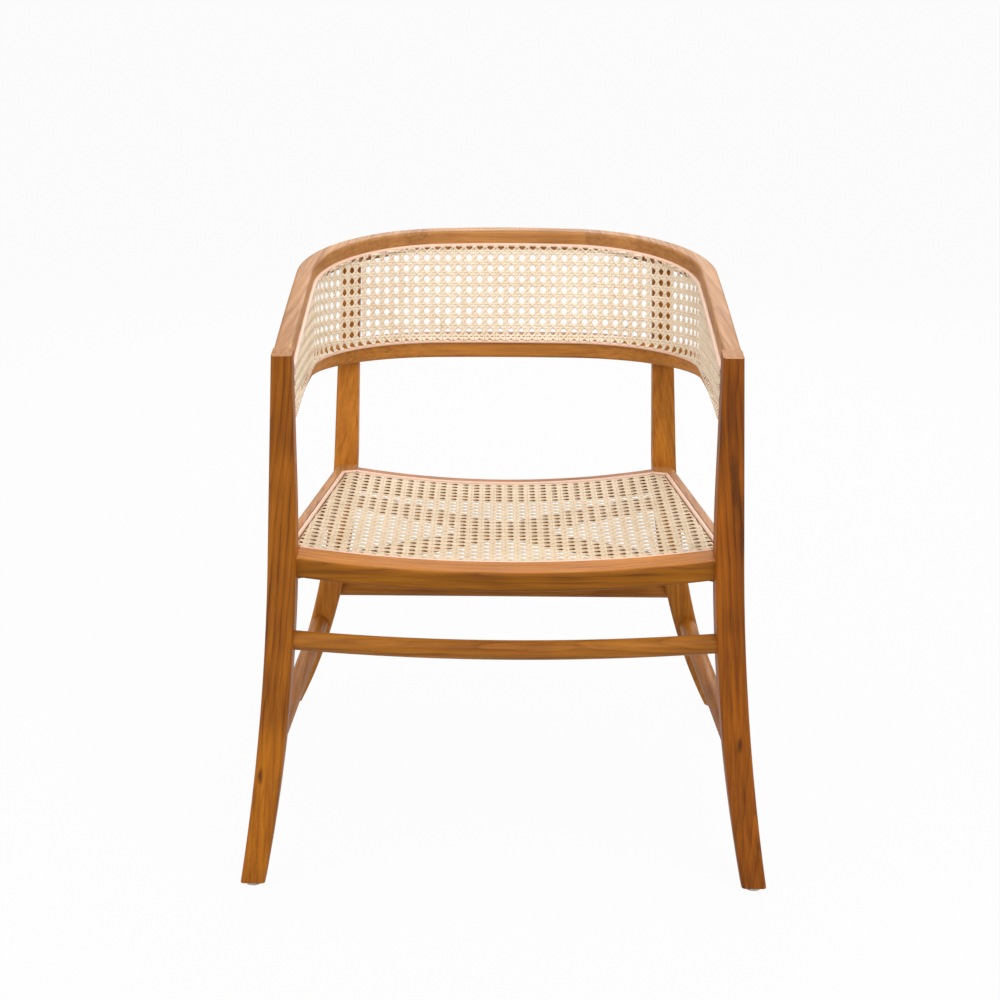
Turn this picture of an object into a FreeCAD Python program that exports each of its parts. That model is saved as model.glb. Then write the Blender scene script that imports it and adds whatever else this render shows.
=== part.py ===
import FreeCAD, Part
import Sketcher
import math
import os
from collections import namedtuple

# A teak dining chair with a barrel back: four curved legs, bent back and arm rails with a cane panel,
# a dished cane seat and turned stretchers. Millimetres, +Z up, front towards -Y, origin on the floor.
SIZES = {
    # overall: the arm's outer half width carries all widths, the half depth carries all depths
    "arm_half": 279.5,
    "half_depth": 300.5,
    "seat_height": 440,
    "arm_height": 694.5,
    "glide_height": 5,
    # front legs
    "front_top_width": 24.5,
    "front_knee_flare": 12,
    "front_foot_flare": 57,
    "front_foot_width": 31.5,
    "front_toe": 20,
    "front_top_depth": 32,
    "front_seat_depth": 42,
    "front_foot_depth": 28,
    "front_knee_drop": 6,
    "front_hip_rise": 90,
    # rear legs
    "rear_top_inset": 47.5,
    "rear_top_width": 26.5,
    "rear_top_depth": 26,
    "rear_knee_inset": 33.5,
    "rear_knee_width": 33.5,
    "rear_knee_depth": 35,
    "rear_foot_flare": 62.5,
    "rear_foot_width": 28,
    "rear_foot_depth": 28,
    "rear_top_setback": 103.5,
    "rear_bend_setback": 118,
    "rear_bend_rise": 65.5,
    "rear_knee_rise": 10.5,
    "rear_top_lap": 16,
    "leg_round": 5,
    # bent rails of the back and arms
    "rail_thickness": 22,
    "rail_show": 21,
    "rail_round": 4,
    "rail_lip": 8,
    "arm_slope": 0.113,
    "top_slope": 0.1056,
    "crest_radius": 900,
    "crest_corner": 182,
    "crest_bulge": 2.5,
    "crest_setback": 54,
    "crest_inset": 167.5,
    "lower_radius": 1500,
    "lower_corner": 180,
    "lower_bulge": 5.8,
    "lower_setback": 74,
    "lower_joint_lap": 3.5,
    "lower_drop": 82.5,
    "lower_slope": 0.0405,
    "lower_show": 2,
    "lower_under_slope": 0.0795,
    "groove_width": 5,
    "groove_depth": 7,
    "spline_proud": 3,
    # seat frame
    "seat_setback": 11,
    "seat_tilt": 2.5,
    "seat_front_flare": 10.5,
    "seat_rear_inset": 36,
    "seat_rear_setback": 123,
    "seat_dish": 20,
    "seat_thickness": 25.5,
    "side_rail_thickness": 31,
    "front_show": 46,
    "side_show": 13,
    "rear_show": 15,
    "seat_groove": 5.5,
    "seat_groove_depth": 8,
    "seat_lip": 10,
    "lip_drop": 3.6,
    "front_clip": 12,
    "rear_clip": 17,
    "seat_round": 5,
    "tenon_cover": 8,
    "tenon_thickness": 13,
    "tenon_width": 16,
    "tenon_length": 15,
    # crossed braces below the seat
    "brace_width": 24,
    "brace_thickness": 14,
    "brace_front": 60,
    "brace_rear_clearance": 38,
    "screw_head": 8,
    "screw_shank": 4,
    "screw_length": 32,
    # stretchers
    "stretcher": 24.5,
    "stretcher_tenon": 15,
    "stretcher_tenon_length": 18,
    "front_stretcher_drop": 113,
    "front_stretcher_dip": 10.5,
    "front_stretcher_inset": 15,
    "rear_stretcher_height": 214.5,
    "rear_stretcher_setback": 76.5,
    "side_stretcher_front_height": 173.5,
    "side_stretcher_front_flare": 15.5,
    "side_stretcher_front_setback": 30,
    "side_stretcher_rear_height": 159.5,
    "side_stretcher_rear_inset": 3,
    "side_stretcher_rear_setback": 81,
    # cane, dowels and glides
    "cane_thickness": 1.6,
    "cane_border": 14,
    "seat_cane_bar": 20,
    "back_cane_bar": 48,
    "back_cane_row_bar": 12,
    "dowel": 8,
    "lap_dowel": 6,
    "dowel_reach": 19,
    "fit": 0.2,
    "glide": 20,
    "glide_pin": 3,
    "glide_pin_length": 12,
}
# Plain openings of the cane: across the seat, along the seat, along each arm, across the back, up the back
SEAT_COLUMNS = 12
SEAT_ROWS = 9
ARM_COLUMNS = 4
BACK_COLUMNS = 4
BACK_ROWS = 3
# Places and reaches of hidden joints, as shares of the piece or fastener they belong to
ARM_DOWEL_LIFT = 1.5
LOWER_DOWEL_LIFT = 0.25
CREST_DOWEL_DROPS = (0.27, 0.73)
LEG_DOWEL_INSET = 0.64
LEG_DOWEL_DEPTH = 0.22
LAP_DOWEL_INSET = 0.6
LAP_DOWEL_DEPTH = 0.3
LAP_DOWEL_LIFT = 1.8
LAP_FRONT_REACH = 0.6
LAP_REAR_REACH = 0.8
FRONT_TENON_WIDTH = 0.9
SIDE_TENON_REACH = 0.6
SIDE_TENON_INSET = 0.55
REAR_TENON_REACH = 0.8
REAR_TENON_SPAN = (0.7, 0.3)
BRACE_FRONT_INSET = 0.6
BRACE_REAR_INSET = 0.45
FRONT_BOW_OVERRUN = 0.8
FRONT_ROUND_REACH = 1.5
SIDE_ROD_OVERRUN = 0.4
# Heights of the splines and the cane, as shares of the splines' rise and the groove's width
SEAT_SPLINE_RISE = 0.7
LIP_REACH = 0.9
LOWER_CANE_RISE = 0.6
UPPER_CANE_RISE = 0.25
# Edges longer than this many rail thicknesses run along a rail
LONG_EDGE = 1.5

doc = FreeCAD.newDocument("cane_armchair")
sheet = doc.addObject("Spreadsheet::Sheet", "Sizes")
for row, (alias, number) in enumerate(SIZES.items(), start=1):
    sheet.set(f"A{row}", alias)
    sheet.set(f"B{row}", str(number))
    sheet.setAlias(f"B{row}", alias)
doc.recompute()


class Size:
    """A length with the sheet formula that drives it."""

    def __init__(self, value, formula):
        self.value = value
        self.formula = formula

    def __add__(self, other):
        other = as_size(other)
        return Size(self.value + other.value, f"({self.formula} + {other.formula})")

    def __sub__(self, other):
        other = as_size(other)
        return Size(self.value - other.value, f"({self.formula} - {other.formula})")

    def __mul__(self, other):
        other = as_size(other)
        return Size(self.value * other.value, f"({self.formula} * {other.formula})")

    def __truediv__(self, other):
        other = as_size(other)
        return Size(self.value / other.value, f"({self.formula} / {other.formula})")

    def __radd__(self, other):
        return as_size(other) + self

    def __rsub__(self, other):
        return as_size(other) - self

    def __neg__(self):
        return Size(-self.value, f"(-{self.formula})")

    def __abs__(self):
        return Size(abs(self.value), f"abs({self.formula})")


def as_size(number):
    return number if isinstance(number, Size) else Size(float(number), str(float(number)))


def root(size):
    return Size(math.sqrt(size.value), f"sqrt({size.formula})")


class Driving:
    """Every size of the sheet by its own name."""


for alias in SIZES:
    setattr(Driving, alias, Size(float(sheet.get(alias)), f"Sizes.{alias}"))
s = Driving

# A corner of an outline; bend is the radius of the edge that leaves it, positive where it turns left.
Corner = namedtuple("Corner", "across up bend", defaults=(None,))
Disc = namedtuple("Disc", "across up diameter")


def bind(item, field, size):
    item.setExpression(field, size.formula)


def constrain(sketch, kind, size, *places):
    index = sketch.addConstraint(Sketcher.Constraint(kind, *places, size.value))
    bind(sketch, f"Constraints[{index}]", size)


def flat(corner):
    return FreeCAD.Vector(corner.across.value, corner.up.value, 0)


def draw_edge(sketch, here, there):
    """Draws the edge between two corners and tells which of its ends lie at them."""
    start, end = flat(here), flat(there)
    if here.bend is None:
        sketch.addGeometry(Part.LineSegment(start, end))
        return 1, 2
    left = here.bend.value > 0
    radius = abs(here.bend.value)
    chord = end - start
    side = FreeCAD.Vector(-chord.y, chord.x, 0).normalize() * (1 if left else -1)
    centre = (start + end) * 0.5 + side * math.sqrt(radius**2 - (chord.Length / 2) ** 2)
    first, last = (start, end) if left else (end, start)
    angles = [math.atan2(point.y - centre.y, point.x - centre.x) for point in (first, last)]
    circle = Part.Circle(centre, FreeCAD.Vector(0, 0, 1), radius)
    sketch.addGeometry(Part.ArcOfCircle(circle, *angles))
    return (1, 2) if left else (2, 1)


def draw_loop(sketch, corners):
    first = sketch.GeometryCount
    following = corners[1:] + corners[:1]
    ends = [draw_edge(sketch, here, there) for here, there in zip(corners, following)]
    for step, corner in enumerate(corners):
        edge = first + step
        after = (step + 1) % len(corners)
        joined = Sketcher.Constraint("Coincident", edge, ends[step][1], first + after, ends[after][0])
        sketch.addConstraint(joined)
        constrain(sketch, "DistanceX", corner.across, -1, 1, edge, ends[step][0])
        constrain(sketch, "DistanceY", corner.up, -1, 1, edge, ends[step][0])
        if corner.bend is not None:
            constrain(sketch, "Radius", abs(corner.bend), edge)


def draw_disc(sketch, disc):
    edge = sketch.GeometryCount
    sketch.addGeometry(Part.Circle(flat(disc), FreeCAD.Vector(0, 0, 1), disc.diameter.value / 2))
    constrain(sketch, "DistanceX", disc.across, -1, 1, edge, 3)
    constrain(sketch, "DistanceY", disc.up, -1, 1, edge, 3)
    constrain(sketch, "Diameter", disc.diameter, edge)


def outline(body, plane, loops, offset):
    sketch = body.newObject("Sketcher::SketchObject", body.Name + "_outline")
    support = [item for item in body.Origin.OriginFeatures if item.Role == plane]
    sketch.AttachmentSupport = [(support[0], "")]
    sketch.MapMode = "FlatFace"
    toward = -offset if plane == "XZ_Plane" else offset
    bind(sketch, "AttachmentOffset.Base.z", toward)
    for loop in loops:
        if isinstance(loop, Disc):
            draw_disc(sketch, loop)
        else:
            draw_loop(sketch, loop)
    return sketch


def lay_on_seat(item):
    """Sets a piece in the seat's own frame: y runs back along the tilted seat, z is square to it."""
    item.Placement = FreeCAD.Placement(
        FreeCAD.Vector(0, seat_front.value, s.seat_height.value),
        FreeCAD.Rotation(FreeCAD.Vector(-1, 0, 0), s.seat_tilt.value),
    )
    bind(item, "Placement.Base.y", seat_front)
    bind(item, "Placement.Base.z", s.seat_height)
    bind(item, "Placement.Rotation.Angle", s.seat_tilt)


def prism(name, plane, loops, low, high, on_seat=False):
    """A straight solid with the given outline, between two distances from the plane."""
    body = doc.addObject("PartDesign::Body", name)
    sketch = outline(body, plane, loops, (low + high) / 2)
    pad = body.newObject("PartDesign::Pad", name + "_pad")
    pad.Profile = sketch
    pad.SideType = "Symmetric"
    bind(pad, "Length", high - low)
    if on_seat:
        lay_on_seat(body)
    return body


def block(name, x_range, y_range, z_range, on_seat=False):
    corners = [
        Corner(x_range[0], y_range[0]),
        Corner(x_range[1], y_range[0]),
        Corner(x_range[1], y_range[1]),
        Corner(x_range[0], y_range[1]),
    ]
    return prism(name, "XY_Plane", [corners], z_range[0], z_range[1], on_seat)


def loft(name, sections, on_seat=False):
    """A ruled solid between outlines, each given as plane, loop and distance from the plane."""
    body = doc.addObject("PartDesign::Body", name + "_sections")
    item = doc.addObject("Part::Loft", name)
    item.Sections = [outline(body, plane, [loop], offset) for plane, loop, offset in sections]
    item.Solid = True
    item.Ruled = True
    if on_seat:
        lay_on_seat(item)
    return item


def common(name, first, second):
    item = doc.addObject("Part::Common", name)
    item.Base = first
    item.Tool = second
    return item


def cut(name, base, *tools):
    """The base less every tool, one after the other."""
    for step, tool in enumerate(tools, start=1):
        item = doc.addObject("Part::Cut", name if step == len(tools) else f"{name}_step_{step}")
        item.Base = base
        item.Tool = tool
        base = item
    return base


def fuse(name, *pieces):
    item = doc.addObject("Part::MultiFuse", name)
    item.Shapes = list(pieces)
    return item


def group(name, *pieces):
    item = doc.addObject("Part::Compound", name)
    item.Links = list(pieces)
    return item


def mirrored(name, piece):
    item = doc.addObject("Part::Mirroring", name)
    item.Source = piece
    item.Normal = FreeCAD.Vector(1, 0, 0)
    return item


def both(name, piece):
    return group(name, piece, mirrored(name + "_mirror", piece))


def rounded(name, base, radius, is_picked):
    doc.recompute()
    edges = enumerate(base.Shape.Edges, start=1)
    item = doc.addObject("Part::Fillet", name)
    item.Base = base
    item.Edges = [(index, radius.value, radius.value) for index, edge in edges if is_picked(edge)]
    return item


def tangent(before, here, there):
    """Radius of the arc that carries a straight edge on from a corner to the next one."""
    ahead_x, ahead_z = here.across - before.across, here.up - before.up
    chord_x, chord_z = there.across - here.across, there.up - here.up
    length = root(ahead_x * ahead_x + ahead_z * ahead_z)
    turn = ahead_x * chord_z - ahead_z * chord_x
    return (chord_x * chord_x + chord_z * chord_z) * length / (turn * 2)


def curved(corners, bends):
    """Gives the numbered corners an edge that leaves tangent to the edge before or after it."""
    loop = list(corners)
    for place, leads in bends.items():
        here, there = corners[place], corners[place + 1]
        if leads:
            bend = tangent(corners[place - 1], here, there)
        else:
            after = corners[(place + 2) % len(corners)]
            bend = -tangent(after, there, here)
        loop[place] = Corner(here.across, here.up, bend)
    return loop


front_face = s.front_toe - s.half_depth
seat_front = front_face + s.seat_setback
barrel_half = s.arm_half - s.rail_thickness
rail_height = s.rail_show + s.groove_width + s.rail_lip
far = s.arm_half * 2
crest_back = s.half_depth - s.crest_setback
lower_back = s.half_depth - s.lower_setback


# Legs: the part shared by a shape cut from the front and a shape cut from the side

def arm_line(drop):
    """Height, along the depth, of a line that rises with the cane from the drop below the arms' front."""
    return lambda y: s.arm_height + s.arm_slope * (y - front_face) - drop


def top_line(y):
    """Height of the sloping top of the arms and crest, along the depth."""
    return s.arm_height + s.top_slope * (y - front_face)


def leg(name, front_view, side_view):
    from_front = prism(name + "_front", "XZ_Plane", [front_view], -far, far)
    from_side = prism(name + "_side", "YZ_Plane", [side_view], -far, far)
    blank = common(name + "_blank", from_front, from_side)
    upright = s.leg_round.value * 2
    return rounded(
        name + "_rounded",
        blank,
        s.leg_round,
        lambda edge: abs(edge.Vertexes[0].Z - edge.Vertexes[-1].Z) > upright,
    )


front_inner = s.arm_half - s.front_top_width
front_foot_half = s.arm_half + s.front_foot_flare
front_calf_back = front_face + s.front_seat_depth
front_top_back = front_face + s.front_top_depth
front_leg_blank = leg(
    "front_leg",
    curved(
        [
            Corner(front_inner, s.arm_height + s.rail_lip),
            Corner(front_inner, s.seat_height + s.front_hip_rise),
            Corner(front_foot_half - s.front_foot_width, s.glide_height),
            Corner(front_foot_half, s.glide_height),
            Corner(s.arm_half + s.front_knee_flare, s.seat_height - s.front_knee_drop),
            Corner(s.arm_half, s.arm_height + s.rail_lip),
        ],
        {1: True, 3: False},
    ),
    curved(
        [
            Corner(front_face, s.arm_height),
            Corner(front_face, s.seat_height - s.front_knee_drop),
            Corner(-s.half_depth, s.glide_height),
            Corner(s.front_foot_depth - s.half_depth, s.glide_height),
            Corner(front_calf_back, s.seat_height),
            Corner(front_top_back, top_line(front_top_back)),
        ],
        {1: True, 3: False},
    ),
)

rear_top_half = s.arm_half - s.rear_top_inset
rear_knee_half = s.arm_half - s.rear_knee_inset
rear_foot_half = s.arm_half + s.rear_foot_flare
rear_top_front = s.half_depth - s.rear_top_setback
rear_bend_front = s.half_depth - s.rear_bend_setback
rear_top = arm_line(rail_height - s.rear_top_lap)(rear_top_front)
rear_knee = s.seat_height + s.rear_knee_rise
rear_bend = s.seat_height + s.rear_bend_rise
rear_leg_blank = leg(
    "rear_leg",
    curved(
        [
            Corner(rear_top_half - s.rear_top_width, rear_top),
            Corner(rear_knee_half - s.rear_knee_width, rear_knee),
            Corner(rear_foot_half - s.rear_foot_width, s.glide_height),
            Corner(rear_foot_half, s.glide_height),
            Corner(rear_knee_half, rear_knee),
            Corner(rear_top_half, rear_top),
        ],
        {1: True, 3: False},
    ),
    curved(
        [
            Corner(rear_top_front, rear_top),
            Corner(rear_bend_front, rear_bend),
            Corner(s.half_depth - s.rear_foot_depth, s.glide_height),
            Corner(s.half_depth, s.glide_height),
            Corner(rear_bend_front + s.rear_knee_depth, rear_bend),
            Corner(rear_top_front + s.rear_top_depth, rear_top),
        ],
        {1: True, 3: False},
    ),
)


# Bent rails: a barrel shape in plan, between sloping lines in side view

Barrel = namedtuple("Barrel", "bulge corner radius back front")


def barrel_course(rail, offset):
    """The barrel line from the right front round the back to the left front, set out by the offset."""
    centre_y = rail.back - rail.radius
    half = barrel_half + rail.bulge
    corner_x = half - rail.corner
    reach = rail.radius - rail.corner
    rise = root(reach * reach - corner_x * corner_x)
    run = centre_y + rise - rail.front
    bow = (run * run + rail.bulge * rail.bulge) / (rail.bulge * 2) + offset
    front_half = half + offset - bow + root(bow * bow - run * run)
    scale = (rail.radius + offset) / reach
    turn_x, turn_y = corner_x * scale, centre_y + rise * scale
    return [
        Corner(front_half, rail.front, bow),
        Corner(half + offset, centre_y + rise, rail.corner + offset),
        Corner(turn_x, turn_y, rail.radius + offset),
        Corner(-turn_x, turn_y, rail.corner + offset),
        Corner(-half - offset, centre_y + rise, bow),
        Corner(-front_half, rail.front),
    ]


def turned_back(course):
    bends = [corner.bend for corner in course[:-1]]
    bends.reverse()
    bends.append(None)
    corners = reversed(course)
    return [
        Corner(corner.across, corner.up, None if bend is None else -bend)
        for corner, bend in zip(corners, bends)
    ]


def barrel_band(rail, inner, outer):
    return barrel_course(rail, outer) + turned_back(barrel_course(rail, inner))


def slab(name, low, high):
    """All of the width between two sloping lines of the side view."""
    front, back = -s.half_depth, s.half_depth
    corners = [
        Corner(front, low(front)),
        Corner(back, low(back)),
        Corner(back, high(back)),
        Corner(front, high(front)),
    ]
    return prism(name, "YZ_Plane", [corners], -far, far)


def bent(name, rail, inner, outer, low, high):
    band = barrel_band(rail, inner, outer)
    plan = prism(name + "_plan", "XY_Plane", [band], as_size(0), s.arm_height * 2)
    return common(name, plan, slab(name + "_slab", low, high))


def lower_line(rise):
    """Height of a line above the lower rail's groove edge, along the depth."""
    return lambda y: s.arm_height - s.lower_drop + rise - s.lower_slope * (y - front_face)


def lower_underside(y):
    return s.arm_height - s.lower_drop - s.lower_show - s.lower_under_slope * (y - front_face)


def long_edge(edge):
    return edge.Length > s.rail_thickness.value * LONG_EDGE


scribe = s.leg_round / 2
no_rise = as_size(0)
arm_front = front_top_back - scribe
top_rail = Barrel(s.crest_bulge, s.crest_corner, s.crest_radius, crest_back, arm_front)
lower_rail = Barrel(s.lower_bulge, s.lower_corner, s.lower_radius, lower_back, arm_front + scribe)
top_blank = bent("top_rail", top_rail, no_rise, s.rail_thickness, arm_line(rail_height), top_line)
top_groove = bent(
    "top_groove", top_rail, -s.groove_depth, s.groove_depth,
    arm_line(s.rail_show + s.groove_width), arm_line(s.rail_show),
)
lower_blank = bent(
    "lower_rail", lower_rail, no_rise, s.rail_thickness,
    lower_underside, lower_line(s.groove_width + s.rail_lip),
)
lower_groove = bent(
    "lower_groove", lower_rail, -s.groove_depth, s.groove_depth, lower_line(0), lower_line(s.groove_width)
)
top_rounded = rounded("top_rail_rounded", top_blank, s.rail_round, long_edge)
lower_rounded = rounded("lower_rail_rounded", lower_blank, s.rail_round, long_edge)


def across_back(name, low, high):
    return block(name, (low, high), (-far, far), (as_size(0), s.arm_height * 2))


crest_half = s.arm_half - s.crest_inset
lower_half = rear_top_half - s.rear_top_width + s.lower_joint_lap
crest_zone = across_back("crest_zone", -crest_half, crest_half)
arm_zone = across_back("arm_zone", crest_half, far)
lower_zone = across_back("lower_zone", -lower_half, lower_half)
lower_side_zone = across_back("lower_side_zone", lower_half, far)


# Joints of the bent rails: dowels at the arms, the crest and the rear legs, a lap at the lower rail

def peg(name, plane, across, up, diameter, low, high, on_seat=False):
    """A round piece and the wider hole it sits in."""
    piece = prism(name, plane, [Disc(across, up, diameter)], low, high, on_seat)
    room = Disc(across, up, diameter + s.fit)
    hole = prism(name + "_hole", plane, [room], low - s.fit, high + s.fit, on_seat)
    return piece, hole


dowel_half = s.arm_half - s.dowel
arm_dowel_span = (front_top_back - s.dowel_reach, front_top_back + s.dowel_reach)
arm_heights = [s.arm_height - s.dowel, s.arm_height - rail_height + s.dowel * ARM_DOWEL_LIFT]
arm_heights.append(s.arm_height - s.lower_drop + s.dowel * LOWER_DOWEL_LIFT)
arm_pegs = [
    peg(f"arm_dowel_{place}", "XZ_Plane", dowel_half, height, s.dowel, *arm_dowel_span)
    for place, height in enumerate(arm_heights, start=1)
]

crest_sag = s.crest_radius - root(s.crest_radius * s.crest_radius - crest_half * crest_half)
crest_middle = crest_back - crest_sag + s.rail_thickness / 2
crest_span = (crest_half - s.dowel_reach, crest_half + s.dowel_reach)
crest_top = top_line(crest_middle)
crest_show = crest_top - arm_line(s.rail_show)(crest_middle)
crest_heights = [crest_top - crest_show * drop for drop in CREST_DOWEL_DROPS]
crest_pegs = [
    peg(f"crest_dowel_{place}", "YZ_Plane", crest_middle, height, s.lap_dowel, *crest_span)
    for place, height in enumerate(crest_heights, start=1)
]

leg_dowel_half = rear_top_half - s.rear_top_width * LEG_DOWEL_INSET
leg_dowel_back = rear_top_front + s.rear_top_depth * LEG_DOWEL_DEPTH
leg_rail_under = arm_line(rail_height)(leg_dowel_back)
top_peg = peg(
    "leg_top_dowel", "XY_Plane", leg_dowel_half, leg_dowel_back, s.dowel,
    leg_rail_under - s.dowel_reach, leg_rail_under + s.rear_top_lap,
)
lap_half = rear_top_half - s.rear_top_width * LAP_DOWEL_INSET
lap_back = rear_bend_front + s.rear_knee_depth * LAP_DOWEL_DEPTH
lap_height = lower_underside(lap_back) + s.lap_dowel * LAP_DOWEL_LIFT
lap_peg = peg(
    "leg_lap_dowel", "XZ_Plane", lap_half, lap_height, s.lap_dowel,
    lap_back - s.dowel_reach * LAP_FRONT_REACH, lap_back + s.dowel_reach * LAP_REAR_REACH,
)

rear_leg_lapped = cut("rear_leg_lapped", rear_leg_blank, top_blank, lower_blank)
arm_dowels = group("arm_dowels_right", *[piece for piece, hole in arm_pegs])
arm_holes = group("arm_holes", *[hole for piece, hole in arm_pegs])
crest_dowels = group("crest_dowels_right", *[piece for piece, hole in crest_pegs])
crest_holes = group("crest_holes", *[hole for piece, hole in crest_pegs])
leg_dowels = group("rear_leg_dowels_right", top_peg[0], lap_peg[0])
crest_holes_both = both("crest_holes_both", crest_holes)

top_rail_grooved = cut("top_rail_grooved", top_rounded, top_groove)
lower_rail_grooved = cut("lower_rail_grooved", lower_rounded, lower_groove)
crest_rail = cut("crest_rail", common("crest_blank", top_rail_grooved, crest_zone), crest_holes_both)
arm_right = cut(
    "arm_rail_right", common("arm_blank", top_rail_grooved, arm_zone),
    front_leg_blank, arm_holes, crest_holes, top_peg[1],
)
lower_back_rail = common("lower_back_rail", lower_rail_grooved, lower_zone)
lower_side_right = cut(
    "lower_side_rail_right", common("lower_side_blank", lower_rail_grooved, lower_side_zone),
    front_leg_blank, arm_holes, lap_peg[1],
)


# Seat frame, in the seat's own frame: straight side rails, arched front and rear rails

seat_depth = s.half_depth - s.seat_rear_setback - seat_front
seat_front_half = s.arm_half + s.seat_front_flare
seat_rear_half = s.arm_half - s.seat_rear_inset
lean = (seat_front_half - seat_rear_half) / seat_depth
lean_scale = root(lean * lean + 1)
side_width = s.side_show + s.seat_groove + s.seat_lip
front_width = s.front_show + s.seat_groove + s.seat_lip
rear_width = s.rear_show + s.seat_groove + s.seat_lip


def side_edge(y, inset):
    """Half width of a line parallel to the side rail's outer edge."""
    return seat_front_half - lean * y - lean_scale * inset


def dish_section(y, high, low):
    """Cross-section of the dished seat between two heights, a little wider than the cane."""
    half = side_edge(y, s.side_show)
    radius = (half * half + s.seat_dish * s.seat_dish) / (s.seat_dish * 2)
    wide = half + s.seat_lip
    rise = radius - s.seat_dish - root(radius * radius - wide * wide)
    return [
        Corner(-wide, rise + high, radius),
        Corner(wide, rise + high),
        Corner(wide, rise + low, -radius),
        Corner(-wide, rise + low),
    ]


def dish(name, high, low):
    ends = [-s.seat_lip, seat_depth + s.seat_lip]
    sections = [("XZ_Plane", dish_section(y, high, low), y) for y in ends]
    return loft(name, sections, on_seat=True)


def cane_loop(inset):
    """Edge of the cane field with clipped corners, drawn in from the groove's outer wall."""
    clip_loss = inset * (2 - math.sqrt(2))
    front, rear = s.front_show + inset, seat_depth - s.rear_show - inset
    front_clip, rear_clip = s.front_clip - clip_loss, s.rear_clip - clip_loss
    edge = s.side_show + inset
    right = [
        Corner(side_edge(front, edge) - front_clip, front),
        Corner(side_edge(front + front_clip, edge), front + front_clip),
        Corner(side_edge(rear - rear_clip, edge), rear - rear_clip),
        Corner(side_edge(rear, edge) - rear_clip, rear),
    ]
    return right + [Corner(-corner.across, corner.up) for corner in reversed(right)]


above = s.side_rail_thickness
below = -s.side_rail_thickness * 2
wood_dish = dish("wood_dish", as_size(0), -s.seat_thickness)
groove_dish = dish("groove_dish", above, -s.seat_groove_depth)
lip_dish = dish("lip_dish", above, -s.lip_drop)
spline_dish = dish("spline_dish", s.spline_proud * SEAT_SPLINE_RISE, s.fit - s.seat_groove_depth)
cane_dish = dish("cane_dish", s.fit + s.cane_thickness - s.lip_drop, s.fit - s.lip_drop)


def seat_plan(name, *loops):
    return prism(name, "XY_Plane", list(loops), below, above, on_seat=True)


groove_plan = seat_plan("groove_plan", cane_loop(as_size(0)), cane_loop(s.seat_groove))
groove_tool = common("seat_groove_tool", groove_plan, groove_dish)
lip_plan = seat_plan("lip_plan", cane_loop(s.seat_groove * LIP_REACH))
lip_tool = common("seat_lip_tool", lip_plan, lip_dish)
spline_plan = seat_plan("spline_plan", cane_loop(s.fit), cane_loop(s.seat_groove - s.fit))
cane_plan = seat_plan("cane_plan", cane_loop(s.seat_groove + s.fit))

front_corner = front_inner + scribe * 2
rear_corner = side_edge(seat_depth, side_width / 2)
front_span = (no_rise, front_width)
rear_span = (seat_depth - rear_width, seat_depth)
front_block = block("seat_front_plan", (-front_corner, front_corner), front_span, (below, above), True)
rear_block = block("seat_rear_plan", (-rear_corner, rear_corner), rear_span, (below, above), True)
leg_back = front_calf_back - seat_front
side_front = leg_back - scribe
side_rear = seat_depth + s.seat_lip
side_loop = [
    Corner(side_edge(side_front, side_width), side_front),
    Corner(side_edge(side_front, no_rise), side_front),
    Corner(side_edge(side_rear, no_rise), side_rear),
    Corner(side_edge(side_rear, side_width), side_rear),
]
side_blank = prism("seat_side_blank", "XY_Plane", [side_loop], -s.side_rail_thickness, no_rise, True)


def is_front_edge(edge):
    middle = edge.BoundBox.Center
    return edge.BoundBox.XLength > front_inner.value and middle.y < seat_front.value + s.seat_round.value


def is_outer_edge(edge):
    middle = edge.BoundBox.Center
    outer = (seat_front_half.value + seat_rear_half.value) / 2
    return edge.BoundBox.YLength > seat_depth.value / 2 and middle.x > outer - s.side_show.value


front_rounded = rounded(
    "seat_front_rounded", common("seat_front_blank", wood_dish, front_block), s.seat_round, is_front_edge
)
side_rounded = rounded("seat_side_rounded", side_blank, s.seat_round, is_outer_edge)
rear_blank = common("seat_rear_blank", wood_dish, rear_block)
sides = both("seat_sides", side_blank)

tenon_high = -s.tenon_cover
tenon_low = -s.tenon_cover - s.tenon_thickness


def tenon(name, x_range, y_range):
    """A seat rail's tenon and the wider mortise it sits in."""
    piece = block(name, x_range, y_range, (tenon_low, tenon_high), True)
    room = [(low - s.fit, high + s.fit) for low, high in (x_range, y_range, (tenon_low, tenon_high))]
    return piece, block(name + "_mortise", *room, True)


front_tenon = tenon(
    "front_tenon", (front_inner - s.tenon_length, front_inner + s.tenon_length),
    (s.seat_round, s.seat_round + s.tenon_width * FRONT_TENON_WIDTH),
)
side_middle = side_edge(leg_back, side_width / 2)
side_half = s.tenon_width / 2
side_front_tenon = tenon(
    "side_front_tenon", (side_middle - side_half, side_middle + side_half),
    (leg_back - s.tenon_length * SIDE_TENON_REACH, leg_back + s.tenon_length),
)
rear_middle = rear_knee_half - s.rear_knee_width * SIDE_TENON_INSET
side_rear_tenon = tenon(
    "side_rear_tenon", (rear_middle - side_half, rear_middle + side_half),
    (seat_depth - s.tenon_length, seat_depth + s.tenon_length),
)
rear_tenon_half = side_edge(seat_depth, side_width)
rear_tenon = tenon(
    "rear_tenon", (rear_tenon_half - s.tenon_length, rear_tenon_half + s.tenon_length * REAR_TENON_REACH),
    [seat_depth - rear_width * share for share in REAR_TENON_SPAN],
)

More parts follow.
